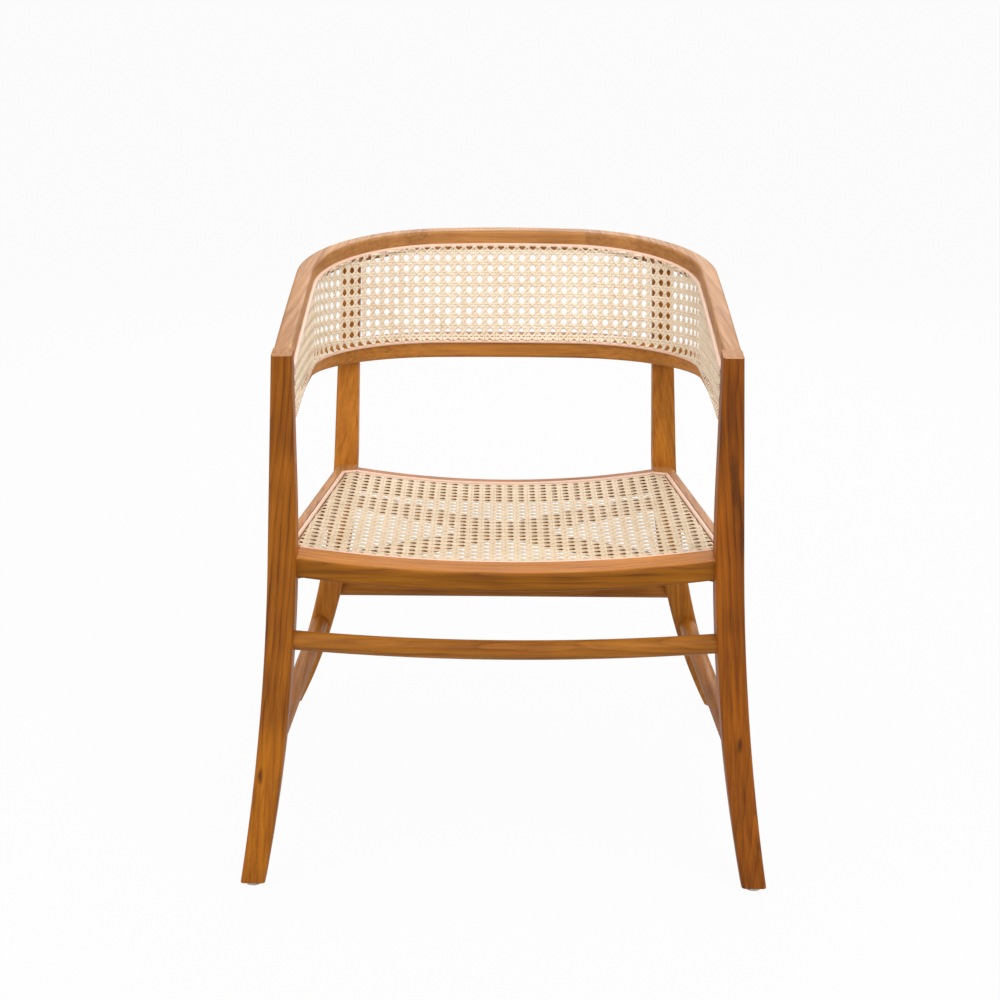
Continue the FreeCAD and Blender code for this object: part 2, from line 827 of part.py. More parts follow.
front_legs = both("front_legs_both", front_leg_blank)
rear_legs = both("rear_legs_both", rear_leg_blank)
seat_front_rail = cut(
    "seat_front_rail",
    fuse(
        "seat_front_tenoned",
        cut("seat_front_cut", front_rounded, front_legs, sides),
        both("front_tenons", front_tenon[0]),
    ),
    groove_tool,
    lip_tool,
)
seat_rear_rail = cut(
    "seat_rear_rail",
    fuse(
        "seat_rear_tenoned",
        cut("seat_rear_cut", rear_blank, sides, rear_legs),
        both("rear_tenons", rear_tenon[0]),
    ),
    groove_tool,
    lip_tool,
)

brace_top = -s.side_rail_thickness
brace_low = brace_top - s.brace_thickness
brace_front_half = side_edge(s.brace_front, side_width * BRACE_FRONT_INSET)
brace_rear = seat_depth - s.brace_rear_clearance
brace_rear_half = side_edge(brace_rear, side_width * BRACE_REAR_INSET)
brace_run = (brace_rear - s.brace_front) / (brace_front_half + brace_rear_half)
screw_inset = s.brace_width / 2
screw_places = [
    ("front", brace_front_half - screw_inset, s.brace_front + brace_run * screw_inset),
    ("rear", brace_rear_half - screw_inset, brace_rear - brace_run * screw_inset),
]
screws = []
screw_holes = []
for where, half, y in screw_places:
    head_top = brace_low + s.screw_shank
    tip = brace_low + s.screw_length
    head = peg(where + "_screw_head", "XY_Plane", half, y, s.screw_head, brace_low, head_top, True)
    shank = peg(where + "_screw_shank", "XY_Plane", half, y, s.screw_shank, brace_low, tip, True)
    screws.append(fuse(where + "_screw", head[0], shank[0]))
    screw_holes.append(fuse(where + "_screw_hole", head[1], shank[1]))
screw_room = both("screw_room", group("screw_room_right", *screw_holes))

seat_side_right = cut(
    "seat_side_rail_right",
    fuse(
        "seat_side_tenoned",
        cut("seat_side_cut", side_rounded, front_leg_blank, rear_leg_blank),
        side_front_tenon[0],
        side_rear_tenon[0],
    ),
    groove_tool,
    lip_tool,
    rear_tenon[1],
    screw_room,
)


def brace_loop(side):
    """Plan of a brace that starts at the front on the given side and ends behind on the other."""
    half = s.brace_width / 2 * root(brace_run * brace_run + 1)
    front_x, rear_x = brace_front_half * side, -brace_rear_half * side
    return [
        Corner(front_x, s.brace_front - half),
        Corner(front_x, s.brace_front + half),
        Corner(rear_x, brace_rear + half),
        Corner(rear_x, brace_rear - half),
    ]


brace_right_blank = prism("brace_right_blank", "XY_Plane", [brace_loop(1)], brace_low, brace_top, True)
brace_left_blank = prism("brace_left_blank", "XY_Plane", [brace_loop(-1)], brace_low, brace_top, True)
brace_middle = (brace_low + brace_top) / 2
brace_left_half = prism(
    "brace_left_half", "XY_Plane", [brace_loop(-1)], brace_middle, brace_top + s.fit, True
)
brace_right_lapped = cut("brace_right_lapped", brace_right_blank, brace_left_half)
brace_left_lapped = cut("brace_left_lapped", brace_left_blank, brace_right_lapped)
brace_right = cut("seat_brace_right", brace_right_lapped, screw_room)
brace_left = cut("seat_brace_left", brace_left_lapped, screw_room)


# Stretchers: round rails scribed to the legs, with thinner round tenons

front_stretcher_end = s.seat_height - s.front_stretcher_drop
front_stretcher_y = front_face + s.front_stretcher_inset
dip = s.front_stretcher_dip
bow = (front_inner * front_inner + dip * dip) / (dip * 2)
front_bow = doc.addObject("PartDesign::Body", "front_stretcher_bow")
bow_sketch = outline(front_bow, "YZ_Plane", [Disc(front_stretcher_y, -bow, s.stretcher)], as_size(0))
bow_sweep = front_bow.newObject("PartDesign::Revolution", "front_stretcher_sweep")
bow_sweep.Profile = bow_sketch
bow_sweep.ReferenceAxis = (bow_sketch, ["H_Axis"])
bow_sweep.Midplane = True
bow_angle = (front_inner + s.stretcher * FRONT_BOW_OVERRUN) / bow * (360 / math.pi)
bind(bow_sweep, "Angle", bow_angle)
bind(front_bow, "Placement.Base.z", front_stretcher_end - dip + bow)

front_tenon_end = front_inner + s.stretcher_tenon_length * FRONT_ROUND_REACH
front_round = prism(
    "front_round", "YZ_Plane", [Disc(front_stretcher_y, front_stretcher_end, s.stretcher_tenon)],
    front_inner - s.stretcher_tenon_length, front_tenon_end,
)
front_round_hole = prism(
    "front_round_hole", "YZ_Plane", [Disc(front_stretcher_y, front_stretcher_end, s.stretcher_tenon + s.fit)],
    front_inner - s.stretcher_tenon_length, front_tenon_end + s.fit,
)
front_stretcher = fuse(
    "front_stretcher", cut("front_stretcher_cut", front_bow, front_legs), both("front_rounds", front_round)
)

rear_stretcher_y = s.half_depth - s.rear_stretcher_setback
rear_stretcher_end = rear_knee_half + s.stretcher_tenon_length
rear_spot = (rear_stretcher_y, s.rear_stretcher_height)
rear_rod = prism(
    "rear_rod", "YZ_Plane", [Disc(*rear_spot, s.stretcher)], -rear_stretcher_end, rear_stretcher_end
)
rear_round = prism(
    "rear_round", "YZ_Plane", [Disc(*rear_spot, s.stretcher_tenon)],
    rear_knee_half - s.rear_knee_width, rear_stretcher_end,
)
rear_round_hole = prism(
    "rear_round_hole", "YZ_Plane", [Disc(*rear_spot, s.stretcher_tenon + s.fit)],
    rear_knee_half - s.rear_knee_width, rear_stretcher_end + s.fit,
)
rear_stretcher = fuse(
    "rear_stretcher", cut("rear_stretcher_cut", rear_rod, rear_legs), both("rear_rounds", rear_round)
)

side_from = front_face + s.side_stretcher_front_setback
side_to = s.half_depth - s.side_stretcher_rear_setback


def side_spot(y):
    """Axis of the right side stretcher at a given depth."""
    part = (y - side_from) / (side_to - side_from)
    front_x = s.arm_half + s.side_stretcher_front_flare
    rear_x = s.arm_half - s.side_stretcher_rear_inset
    drop = s.side_stretcher_front_height - s.side_stretcher_rear_height
    return front_x + (rear_x - front_x) * part, s.side_stretcher_front_height - drop * part


def side_rod(name, diameter, beyond):
    """A round bar along the side stretcher's axis, going beyond the faces of both legs."""
    body = doc.addObject("PartDesign::Body", name + "_sections")
    rod = doc.addObject("Part::Loft", name)
    ends = [side_from - beyond, side_to + beyond]
    rod.Sections = [outline(body, "XZ_Plane", [Disc(*side_spot(y), diameter)], y) for y in ends]
    rod.Solid = True
    return rod


side_tenon_reach = s.stretcher_tenon_length
side_body = side_rod("side_rod", s.stretcher, s.stretcher * SIDE_ROD_OVERRUN)
side_round = side_rod("side_round", s.stretcher_tenon, side_tenon_reach)
side_round_hole = side_rod("side_round_hole", s.stretcher_tenon + s.fit, side_tenon_reach + s.fit)
side_stretcher_right = fuse(
    "side_stretcher_right", cut("side_stretcher_cut", side_body, front_leg_blank, rear_leg_blank), side_round
)


# Foot glides: a disc under each leg with a pin up into it

glide_places = [
    ("front", front_foot_half - s.front_foot_width / 2, s.front_foot_depth / 2 - s.half_depth),
    ("rear", rear_foot_half - s.rear_foot_width / 2, s.half_depth - s.rear_foot_depth / 2),
]
glides = []
pin_holes = {}
for where, half, y in glide_places:
    disc = prism(where + "_glide", "XY_Plane", [Disc(half, y, s.glide)], as_size(0), s.glide_height)
    pin_span = (s.glide_height / 2, s.glide_height + s.glide_pin_length)
    pin, pin_hole = peg(where + "_pin", "XY_Plane", half, y, s.glide_pin, *pin_span)
    glides.append(fuse(where + "_glide_pinned", disc, pin))
    pin_holes[where] = pin_hole

front_leg_right = cut(
    "front_leg_right", front_leg_blank, front_tenon[1], side_front_tenon[1], front_round_hole,
    side_round_hole, arm_holes, pin_holes["front"],
)
rear_leg_right = cut(
    "rear_leg_right", rear_leg_lapped, side_rear_tenon[1], rear_round_hole, side_round_hole,
    top_peg[1], lap_peg[1], pin_holes["rear"],
)


# Cane panels as thin sheets with plain openings, and the splines that hold them in their grooves

def parted(start, end, count, bar):
    """Equal stretches of a span with a bar between each two, as if half a bar stood at each end."""
    pitch = (end - start) / count
    return [(start + pitch * step + bar / 2, start + pitch * (step + 1) - bar / 2) for step in range(count)]


seat_field = s.seat_groove + s.cane_border - s.seat_cane_bar / 2
field_front = s.front_show + seat_field
field_rear = seat_depth - s.rear_show - seat_field
field_half = [side_edge(y, s.side_show + seat_field) for y in (field_front, field_rear)]
column_ends = [parted(-half, half, SEAT_COLUMNS, s.seat_cane_bar) for half in field_half]
seat_columns = []
for place, (front, rear) in enumerate(zip(*column_ends), start=1):
    fan = [
        Corner(front[0], field_front),
        Corner(front[1], field_front),
        Corner(rear[1], field_rear),
        Corner(rear[0], field_rear),
    ]
    seat_columns.append(prism(f"seat_column_{place}", "XY_Plane", [fan], below, above, True))
seat_rows = [
    block(f"seat_row_{place}", (-far, far), span, (below, above), True)
    for place, span in enumerate(parted(field_front, field_rear, SEAT_ROWS, s.seat_cane_bar), start=1)
]
seat_openings = common("seat_openings", group("seat_columns", *seat_columns), group("seat_rows", *seat_rows))
seat_cane = cut("seat_cane", common("seat_cane_sheet", cane_plan, cane_dish), seat_openings)
seat_spline = common("seat_spline", spline_plan, spline_dish)
upper_spline_blank = bent(
    "upper_spline", top_rail, -s.spline_proud, s.groove_depth - s.fit,
    arm_line(s.rail_show + s.groove_width - s.fit), arm_line(s.rail_show + s.fit),
)
lower_spline_blank = bent(
    "lower_spline", lower_rail, -s.spline_proud, s.groove_depth - s.fit,
    lower_line(s.fit), lower_line(s.groove_width - s.fit),
)
back_spline_upper = cut("back_spline_upper", upper_spline_blank, front_legs)
back_spline_lower = cut("back_spline_lower", lower_spline_blank, front_legs)

cane_low = lower_line(s.groove_width + s.fit)
cane_high = arm_line(s.rail_show + s.groove_width + s.fit)
lower_gap = s.spline_proud * LOWER_CANE_RISE
upper_gap = s.spline_proud * UPPER_CANE_RISE
lower_edge = barrel_band(lower_rail, -lower_gap - s.cane_thickness, -lower_gap)
upper_edge = barrel_band(top_rail, -upper_gap - s.cane_thickness, -upper_gap)
back_sheet = loft(
    "back_sheet",
    [
        ("XY_Plane", lower_edge, cane_low(lower_back)),
        ("XY_Plane", upper_edge, cane_high(crest_back)),
    ],
)
cane_slab = slab("cane_slab", cane_low, cane_high)

full_height = (as_size(0), s.arm_height * 2)
field_bar = s.back_cane_bar / 2
arm_field = (arm_front + s.cane_border - field_bar, rear_bend_front - s.cane_border + field_bar)
back_field = lower_half - s.cane_border + field_bar
arm_columns = [
    block(f"arm_column_{place}", (crest_half, far), span, full_height)
    for place, span in enumerate(parted(*arm_field, ARM_COLUMNS, s.back_cane_bar), start=1)
]
back_columns = [
    block(f"back_column_{place}", span, (no_rise, far), full_height)
    for place, span in enumerate(parted(-back_field, back_field, BACK_COLUMNS, s.back_cane_bar), start=1)
]


def cane_row(step, side):
    """A line between two rows of openings, moved half a bar to one side."""
    part = step / BACK_ROWS
    return lambda y: cane_low(y) + (cane_high(y) - cane_low(y)) * part + s.back_cane_row_bar / 2 * side


back_rows = [slab(f"back_row_{step}", cane_row(step, 1), cane_row(step + 1, -1)) for step in range(BACK_ROWS)]
arm_columns_both = both("arm_columns_both", group("arm_columns_right", *arm_columns))
cane_columns = group("cane_columns", arm_columns_both, *back_columns)
back_openings = common("back_openings", cane_columns, group("back_rows", *back_rows))
back_cane = cut("back_cane", common("back_cane_blank", back_sheet, cane_slab), front_legs, back_openings)


pieces = {
    "front_leg_right": front_leg_right,
    "front_leg_left": mirrored("front_leg_left", front_leg_right),
    "rear_leg_right": rear_leg_right,
    "rear_leg_left": mirrored("rear_leg_left", rear_leg_right),
    "crest_rail": crest_rail,
    "arm_rail_right": arm_right,
    "arm_rail_left": mirrored("arm_rail_left", arm_right),
    "lower_back_rail": lower_back_rail,
    "lower_side_rail_right": lower_side_right,
    "lower_side_rail_left": mirrored("lower_side_rail_left", lower_side_right),
    "seat_front_rail": seat_front_rail,
    "seat_rear_rail": seat_rear_rail,
    "seat_side_rail_right": seat_side_right,
    "seat_side_rail_left": mirrored("seat_side_rail_left", seat_side_right),
    "seat_brace_right": brace_right,
    "seat_brace_left": brace_left,
    "front_stretcher": front_stretcher,
    "rear_stretcher": rear_stretcher,
    "side_stretcher_right": side_stretcher_right,
    "side_stretcher_left": mirrored("side_stretcher_left", side_stretcher_right),
    "seat_cane": seat_cane,
    "seat_spline": seat_spline,
    "back_cane": back_cane,
    "back_spline_upper": back_spline_upper,
    "back_spline_lower": back_spline_lower,
    "arm_dowels": both("arm_dowels", arm_dowels),
    "crest_dowels": both("crest_dowels", crest_dowels),
    "rear_leg_dowels": both("rear_leg_dowels", leg_dowels),
    "brace_screws": both("brace_screws", group("brace_screws_right", *screws)),
    "foot_glides": both("foot_glides", group("foot_glides_right", *glides)),
}

doc.recompute()
os.makedirs("parts", exist_ok=True)
for name, piece in pieces.items():
    piece.Label = name
    shape = piece.Shape
    if "Invalid" in piece.State or "Error" in piece.State or shape.isNull() or not shape.isValid():
        raise RuntimeError(f"{name} did not build")
    shape.exportStep(f"parts/{name}.step")
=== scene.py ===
import math
import random

import bpy
import numpy as np
from mathutils import Euler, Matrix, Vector


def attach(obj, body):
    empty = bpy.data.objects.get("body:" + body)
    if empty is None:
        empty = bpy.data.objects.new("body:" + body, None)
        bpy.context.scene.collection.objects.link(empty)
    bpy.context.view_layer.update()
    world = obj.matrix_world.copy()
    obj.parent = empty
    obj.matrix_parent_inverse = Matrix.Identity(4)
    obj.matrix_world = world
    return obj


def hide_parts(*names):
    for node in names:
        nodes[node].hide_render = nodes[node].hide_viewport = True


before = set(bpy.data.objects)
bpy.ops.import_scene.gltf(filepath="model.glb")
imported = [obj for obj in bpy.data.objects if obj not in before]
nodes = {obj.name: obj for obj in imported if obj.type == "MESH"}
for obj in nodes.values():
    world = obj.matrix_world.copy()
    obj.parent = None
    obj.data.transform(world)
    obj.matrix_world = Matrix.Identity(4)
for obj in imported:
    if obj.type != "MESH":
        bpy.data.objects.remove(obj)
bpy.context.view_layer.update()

# Cane armchair in teak: the wood comes from the frame, the woven cane and its reeds are made here.
# Metres, +Z up, front towards -Y.

# Bent rails of the back and arms
ARM_FRONT = -0.2805
ARM_HEIGHT = 0.6945
ARM_SLOPE = 0.113
RAIL_SHOW = 0.021
GROOVE = 0.005
LOWER_HEIGHT = 0.612
LOWER_SLOPE = 0.0405
BARREL_HALF = 0.2575
RAIL_FRONT = -0.2485
TOP_RAIL = {"bulge": 0.0025, "corner": 0.182, "radius": 0.9, "back": 0.2465}
LOWER_RAIL = {"bulge": 0.0058, "corner": 0.18, "radius": 1.5, "back": 0.2265}
ARC_STEPS = 48

# Dished seat, in its own plane: x across, y back from the front edge
SEAT_FRONT = -0.2695
SEAT_HEIGHT = 0.44
SEAT_TILT = math.radians(2.5)
SEAT_DEPTH = 0.447
SEAT_FRONT_HALF = 0.29
SEAT_REAR_HALF = 0.2435
SEAT_DISH = 0.02
SIDE_SHOW = 0.013
FRONT_SHOW = 0.046
REAR_SHOW = 0.015
FRONT_CLIP = 0.012
REAR_CLIP = 0.017
# Slope of the clipped corners: distance from a clip, for each metre across, at about 45 degrees
CLIP_SLOPE = 0.7
SEAT_GROOVE = 0.0055

# Cane: paired strands both ways and single strands on both slants, one hole to each pitch
SEAT_PITCH = 0.0157
BACK_PITCH = 0.01515
BACK_ROW_START = 0.0038
PAIR_HALF = 0.0018
STRAND_WIDTH = 0.003
SLANT_WIDTH = 0.0028
STRAND_THICK = 0.0007
SLANT_STEPS = 6
# Outline of a strand's section, in half widths and in thicknesses
STRAND_PROFILE = np.array([(-1, -0.5), (1, -0.5), (1, 0.1), (0.5, 0.5), (-0.5, 0.5), (-1, 0.1)])
# Widths of the strands as shares of the plain width: in each panel, and from strand to strand
SEAT_FULLNESS = 1.12
BACK_FULLNESS = 1.0
WIDTH_RANGE = (0.95, 1.05)
# Flat spans that the weave is laid over before it is cut to the panel
SEAT_WEAVE_ACROSS = (-SEAT_FRONT_HALF, SEAT_FRONT_HALF)
SEAT_WEAVE_ALONG = (0.02, 0.46)
BACK_WEAVE_ALONG = (-0.08, 0.17)
# Place of the cane: below the seat's face, and outwards from the lower and upper rail's line
CANE_DROP = 0.0016
LOWER_SET = -0.0002
UPPER_SET = -0.0004
# Ends of the strands: how deep they dip, from how far in, and how far they run under the reed
TUCK = 0.0035
TUCK_REACH = 0.004
TUCK_UNDER = 0.001
# Small step for slopes of a panel, and tries to find a place on the bent back
SLOPE_STEP = 0.0005
PLACE_TRIES = 6

# Oval reeds in the grooves: half size out of the groove, half size across it,
# and height of the middle above the groove's mouth
BACK_REED = (0.0036, 0.0025, 0.0005)
SEAT_REED = (0.0026, 0.0027, -0.0018)
REED_SIDES = 14
REED_STEPS = 40

# Camera of the photograph
CAMERA_SIDE = -0.01
CAMERA_BACK = 2.5195
CAMERA_HEIGHT = 1.2465
CAMERA_PITCH = math.radians(18.03)
CAMERA_YAW = math.radians(1.3)
CAMERA_SHIFT = 0.0445
FOCAL_PIXELS = 1950
FRAME_PIXELS = 1000
SENSOR = 36

# Studio: each lamp's place and power, the sky, and the floor with the share of plain white
# that the camera sees on it
SEAT_MIDDLE = (0, 0, 0.45)
LAMP_SIZE = 2.0
LAMPS = {
    "key": ((1.2, -1.8, 2.6), 47),
    "fill": ((-1.8, -1.6, 1.8), 26),
    "rim": ((0.3, 2.6, 2.0), 33),
    "top": ((0, -0.2, 3.0), 15),
}
SKY_STRENGTH = 0.52
FLOOR_SIZE = 60
FLOOR_GREY = 0.6
FLOOR_ROUGHNESS = 0.9
FLOOR_WHITE = 0.95


# Shader helpers

class Graph:
    """A node tree with short calls to add nodes and links."""

    def __init__(self, tree):
        self.tree = tree

    def add(self, kind, settings=None, **inputs):
        node = self.tree.nodes.new(kind)
        for field, value in (settings or {}).items():
            setattr(node, field, value)
        for name, value in inputs.items():
            self.feed(node, name, value)
        return node

    def feed(self, node, socket, value):
        target = node.inputs[socket]
        if isinstance(value, bpy.types.NodeSocket):
            self.tree.links.new(value, target)
        else:
            target.default_value = value

    def feed_all(self, node, values):
        for place, value in enumerate(values):
            self.feed(node, place, value)

    def math(self, operation, *values):
        node = self.add("ShaderNodeMath", {"operation": operation})
        self.feed_all(node, values)
        return node.outputs[0]

    def vector(self, operation, *values):
        node = self.add("ShaderNodeVectorMath", {"operation": operation})
        self.feed_all(node, values)
        return node.outputs["Value" if operation == "LENGTH" else "Vector"]

    def noise(self, place, scale, detail, **inputs):
        node = self.add("ShaderNodeTexNoise", Vector=place, Scale=scale, Detail=detail, **inputs)
        return node.outputs["Fac"]

    def blend(self, amount, first, second):
        node = self.add("ShaderNodeMix", {"data_type": "RGBA"})
        self.feed(node, 0, amount)
        self.feed(node, 6, first)
        self.feed(node, 7, second)
        return node.outputs[2]

    def ramp(self, amount, *stops):
        """Grey levels at places of the amount."""
        node = self.add("ShaderNodeValToRGB")
        elements = node.color_ramp.elements
        for stop in stops[2:]:
            elements.new(stop[0])
        for element, (place, level) in zip(elements, stops):
            element.position = place
            element.color = rgb(level, level, level)
        self.feed(node, 0, amount)
        return node.outputs[0]

    def spread(self, value, low, high, out_low=0, out_high=1):
        """The span from low to high, drawn out over the new span."""
        node = self.add("ShaderNodeMapRange", Value=value)
        limits = {"From Min": low, "From Max": high, "To Min": out_low, "To Max": out_high}
        for socket, limit in limits.items():
            self.feed(node, socket, limit)
        return node.outputs[0]

    def object_place(self):
        return self.add("ShaderNodeTexCoord").outputs["Object"]


def rgb(red, green, blue):
    return (red, green, blue, 1)


def new_group(name, inputs, outputs):
    """An empty shader node group with named sockets."""
    tree = bpy.data.node_groups.new(name, "ShaderNodeTree")
    for socket, kind, value in inputs:
        made = tree.interface.new_socket(socket, in_out="INPUT", socket_type=kind)
        if value is not None:
            made.default_value = value
    for socket, kind in outputs:
        tree.interface.new_socket(socket, in_out="OUTPUT", socket_type=kind)
    graph = Graph(tree)
    return graph, graph.add("NodeGroupInput"), graph.add("NodeGroupOutput")


def use_group(graph, tree, **inputs):
    return graph.add("ShaderNodeGroup", {"node_tree": tree}, **inputs)


# Span of a noise over which roughness goes from its low to its high value
ROUGH_SPAN = (0.3, 0.7)

# Teak grain. Layers of noise drawn out along the grain: the noise's scale, the share of it along the grain,
# its detail and roughness, the span of values over which the layer sets in, and its share in the darkening
GRAIN_LAYERS = {
    "cloud": {"scale": 14, "along": 0.55, "detail": 2, "rough": 0.55, "span": (0.35, 0.65), "share": 0.3},
    "drift": {"scale": 22, "along": 0.16, "detail": 3, "rough": 0.55, "span": (0.32, 0.68), "share": 0.25},
    "streak": {"scale": 190, "along": 0.035, "detail": 4, "rough": 0.55, "span": (0.35, 0.7), "share": 0.42},
    "pores": {"scale": 950, "along": 0.022, "detail": 2, "rough": 0.6, "span": (0.6, 0.72), "share": 0.45},
}
PORE_COLOUR = rgb(0.11, 0.04, 0.01)
# Year rings: how many to a metre, how far the drift moves them, their squeeze along the grain,
# their depth from early to late wood, and their share in the darkening
RINGS_PER_METRE = 150
RING_WANDER = 0.022
RING_SQUEEZE = 0.07
RING_DEPTHS = ((0.0, 0.15), (0.75, 0.5), (0.93, 1), (1.0, 0.15))
RING_SHARE = 0.3
TEAK_ROUGHNESS = (0.44, 0.58)
STREAK_RELIEF = 0.4


def teak_grain_group():
    """Teak grain along the x of the given place: rings, clouds, drift, streaks and fine pores."""
    graph, source, sink = new_group(
        "teak grain",
        [
            ("Place", "NodeSocketVector", None),
            ("Pith", "NodeSocketVector", (0, 0.05, 0.03)),
            ("Light", "NodeSocketColor", rgb(0.47, 0.195, 0.04)),
            ("Dark", "NodeSocketColor", rgb(0.2, 0.066, 0.012)),
        ],
        [("Color", "NodeSocketColor"), ("Roughness", "NodeSocketFloat"), ("Height", "NodeSocketFloat")],
    )
    place = source.outputs["Place"]
    noise = {}
    layer = {}
    for name, make in GRAIN_LAYERS.items():
        drawn_out = graph.vector("MULTIPLY", place, (make["along"], 1, 1))
        noise[name] = graph.noise(drawn_out, make["scale"], make["detail"], Roughness=make["rough"])
        layer[name] = graph.spread(noise[name], *make["span"])
    off_pith = graph.vector("SUBTRACT", place, source.outputs["Pith"])
    radius = graph.vector("LENGTH", graph.vector("MULTIPLY", off_pith, (RING_SQUEEZE, 1, 1)))
    wander = graph.math("MULTIPLY_ADD", noise["drift"], RING_WANDER, radius)
    ring = graph.math("FRACT", graph.math("MULTIPLY", wander, RINGS_PER_METRE))
    depth = graph.math("MULTIPLY", graph.ramp(ring, *RING_DEPTHS), RING_SHARE)
    for name in ("cloud", "drift", "streak"):
        depth = graph.math("MULTIPLY_ADD", layer[name], GRAIN_LAYERS[name]["share"], depth)
    body = graph.blend(depth, source.outputs["Light"], source.outputs["Dark"])
    pored = graph.math("MULTIPLY", layer["pores"], GRAIN_LAYERS["pores"]["share"])
    graph.feed(sink, "Color", graph.blend(pored, body, PORE_COLOUR))
    graph.feed(sink, "Roughness", graph.spread(noise["streak"], *ROUGH_SPAN, *TEAK_ROUGHNESS))
    relief = graph.math("MULTIPLY", noise["streak"], STREAK_RELIEF)
    graph.feed(sink, "Height", graph.math("SUBTRACT", relief, layer["pores"]))
    return graph.tree


# Bend of a knot's edge: scale and detail of its noise, and its whole swing
KNOT_NOISE = (45, 2)
KNOT_BEND = 0.012
KNOT_COLOUR = rgb(0.05, 0.014, 0.003)


def knot_group():
    """A dark knot with its trailing flame, lying along x about the middle of the given place."""
    graph, source, sink = new_group(
        "knot",
        [
            ("Place", "NodeSocketVector", None),
            ("Reach", "NodeSocketFloat", 0.03),
            ("Width", "NodeSocketFloat", 0.006),
        ],
        [("Mask", "NodeSocketFloat")],
    )
    bend = graph.noise(source.outputs["Place"], *KNOT_NOISE)
    shift = graph.math("MULTIPLY_ADD", bend, KNOT_BEND, -KNOT_BEND / 2)
    parts = graph.add("ShaderNodeSeparateXYZ")
    graph.feed(parts, 0, source.outputs["Place"])
    long = graph.math("DIVIDE", parts.outputs[0], source.outputs["Reach"])
    wide = graph.math("DIVIDE", graph.math("ADD", parts.outputs[1], shift), source.outputs["Width"])
    deep = graph.math("DIVIDE", graph.math("SUBTRACT", parts.outputs[2], shift), source.outputs["Width"])
    away = graph.math("MULTIPLY_ADD", wide, wide, graph.math("MULTIPLY", deep, deep))
    away = graph.math("MULTIPLY_ADD", long, long, away)
    graph.feed(sink, "Mask", graph.spread(away, 0, 1, 1, 0))
    return graph.tree


# Upward part of a face's normal at which the painted top light begins and is full
PAINTED_TOP_LIGHT_SPAN = (0.75, 0.95)


def painted_top_light_group():
    """Faces that look up, where a paler tone is painted as the light that falls on them from above."""
    graph, source, sink = new_group("upward", [], [("Mask", "NodeSocketFloat")])
    faces = graph.add("ShaderNodeNewGeometry")
    parts = graph.add("ShaderNodeSeparateXYZ")
    graph.feed(parts, 0, faces.outputs["Normal"])
    graph.feed(sink, "Mask", graph.spread(parts.outputs[2], *PAINTED_TOP_LIGHT_SPAN))
    return graph.tree


# Straw of the cane and reeds: scale and detail of each noise, the span of values over which it sets in,
# and the share of each in the deepening
SLOW_NOISE = (28, 3)
SLOW_SPAN = (0.35, 0.7)
SLOW_SHARE = 0.45
FINE_NOISE = (650, 2)
FINE_SPAN = (0.4, 0.8)
FINE_SHARE = 0.18
STRAND_SHARE = 0.4
FLECK_NOISE = (95, 1)
FLECK_SPAN = (0.7, 0.78)
FLECK_COLOUR = rgb(0.3, 0.2, 0.09)
STRAW_ROUGHNESS = (0.4, 0.58)


def straw_tone_group():
    """Straw colour that changes from strand to strand and along each strand."""
    graph, source, sink = new_group(
        "straw tone",
        [
            ("Pale", "NodeSocketColor", rgb(0.9, 0.76, 0.53)),
            ("Deep", "NodeSocketColor", rgb(0.7, 0.5, 0.26)),
            ("Fleck", "NodeSocketFloat", 0.6),
        ],
        [("Color", "NodeSocketColor"), ("Roughness", "NodeSocketFloat"), ("Height", "NodeSocketFloat")],
    )
    where = graph.object_place()
    strand = graph.add("ShaderNodeAttribute", {"attribute_name": "strand"})
    slow = graph.spread(graph.noise(where, *SLOW_NOISE), *SLOW_SPAN)
    fine = graph.noise(where, *FINE_NOISE)
    amount = graph.math("MULTIPLY", slow, SLOW_SHARE)
    amount = graph.math("MULTIPLY_ADD", strand.outputs["Fac"], STRAND_SHARE, amount)
    amount = graph.math("MULTIPLY_ADD", graph.spread(fine, *FINE_SPAN), FINE_SHARE, amount)
    tone = graph.blend(amount, source.outputs["Pale"], source.outputs["Deep"])
    flecks = graph.spread(graph.noise(where, *FLECK_NOISE), *FLECK_SPAN)
    flecked = graph.math("MULTIPLY", flecks, source.outputs["Fleck"])
    graph.feed(sink, "Color", graph.blend(flecked, tone, FLECK_COLOUR))
    graph.feed(sink, "Roughness", graph.spread(fine, *ROUGH_SPAN, *STRAW_ROUGHNESS))
    graph.feed(sink, "Height", fine)
    return graph.tree


def mottle_group():
    """Two colours that run into each other in patches, with roughness that follows them."""
    graph, source, sink = new_group(
        "mottle",
        [
            ("Scale", "NodeSocketFloat", 200),
            ("Detail", "NodeSocketFloat", 3),
            ("Light", "NodeSocketColor", rgb(0.8, 0.8, 0.8)),
            ("Dark", "NodeSocketColor", rgb(0.6, 0.6, 0.6)),
            ("Smooth", "NodeSocketFloat", 0.3),
            ("Rough", "NodeSocketFloat", 0.5),
        ],
        [("Color", "NodeSocketColor"), ("Roughness", "NodeSocketFloat")],
    )
    given = source.outputs
    patches = graph.noise(graph.object_place(), given["Scale"], given["Detail"])
    graph.feed(sink, "Color", graph.blend(patches, given["Light"], given["Dark"]))
    graph.feed(sink, "Roughness", graph.spread(patches, *ROUGH_SPAN, given["Smooth"], given["Rough"]))
    return graph.tree


TEAK_GRAIN = teak_grain_group()
PAINTED_TOP_LIGHT = painted_top_light_group()
KNOT = knot_group()
STRAW_TONE = straw_tone_group()
MOTTLE = mottle_group()


# Finishes

def new_material(name):
    material = bpy.data.materials.new(name)
    material.use_nodes = True
    graph = Graph(material.node_tree)
    return material, graph, material.node_tree.nodes["Principled BSDF"]


def raise_surface(graph, shader, height, distance, strength):
    bump = graph.add("ShaderNodeBump", Strength=strength, Distance=distance, Height=height)
    graph.feed(shader, "Normal", bump.outputs[0])


def grain_turn(along):
    return Vector(along).to_track_quat("X", "Z").inverted()


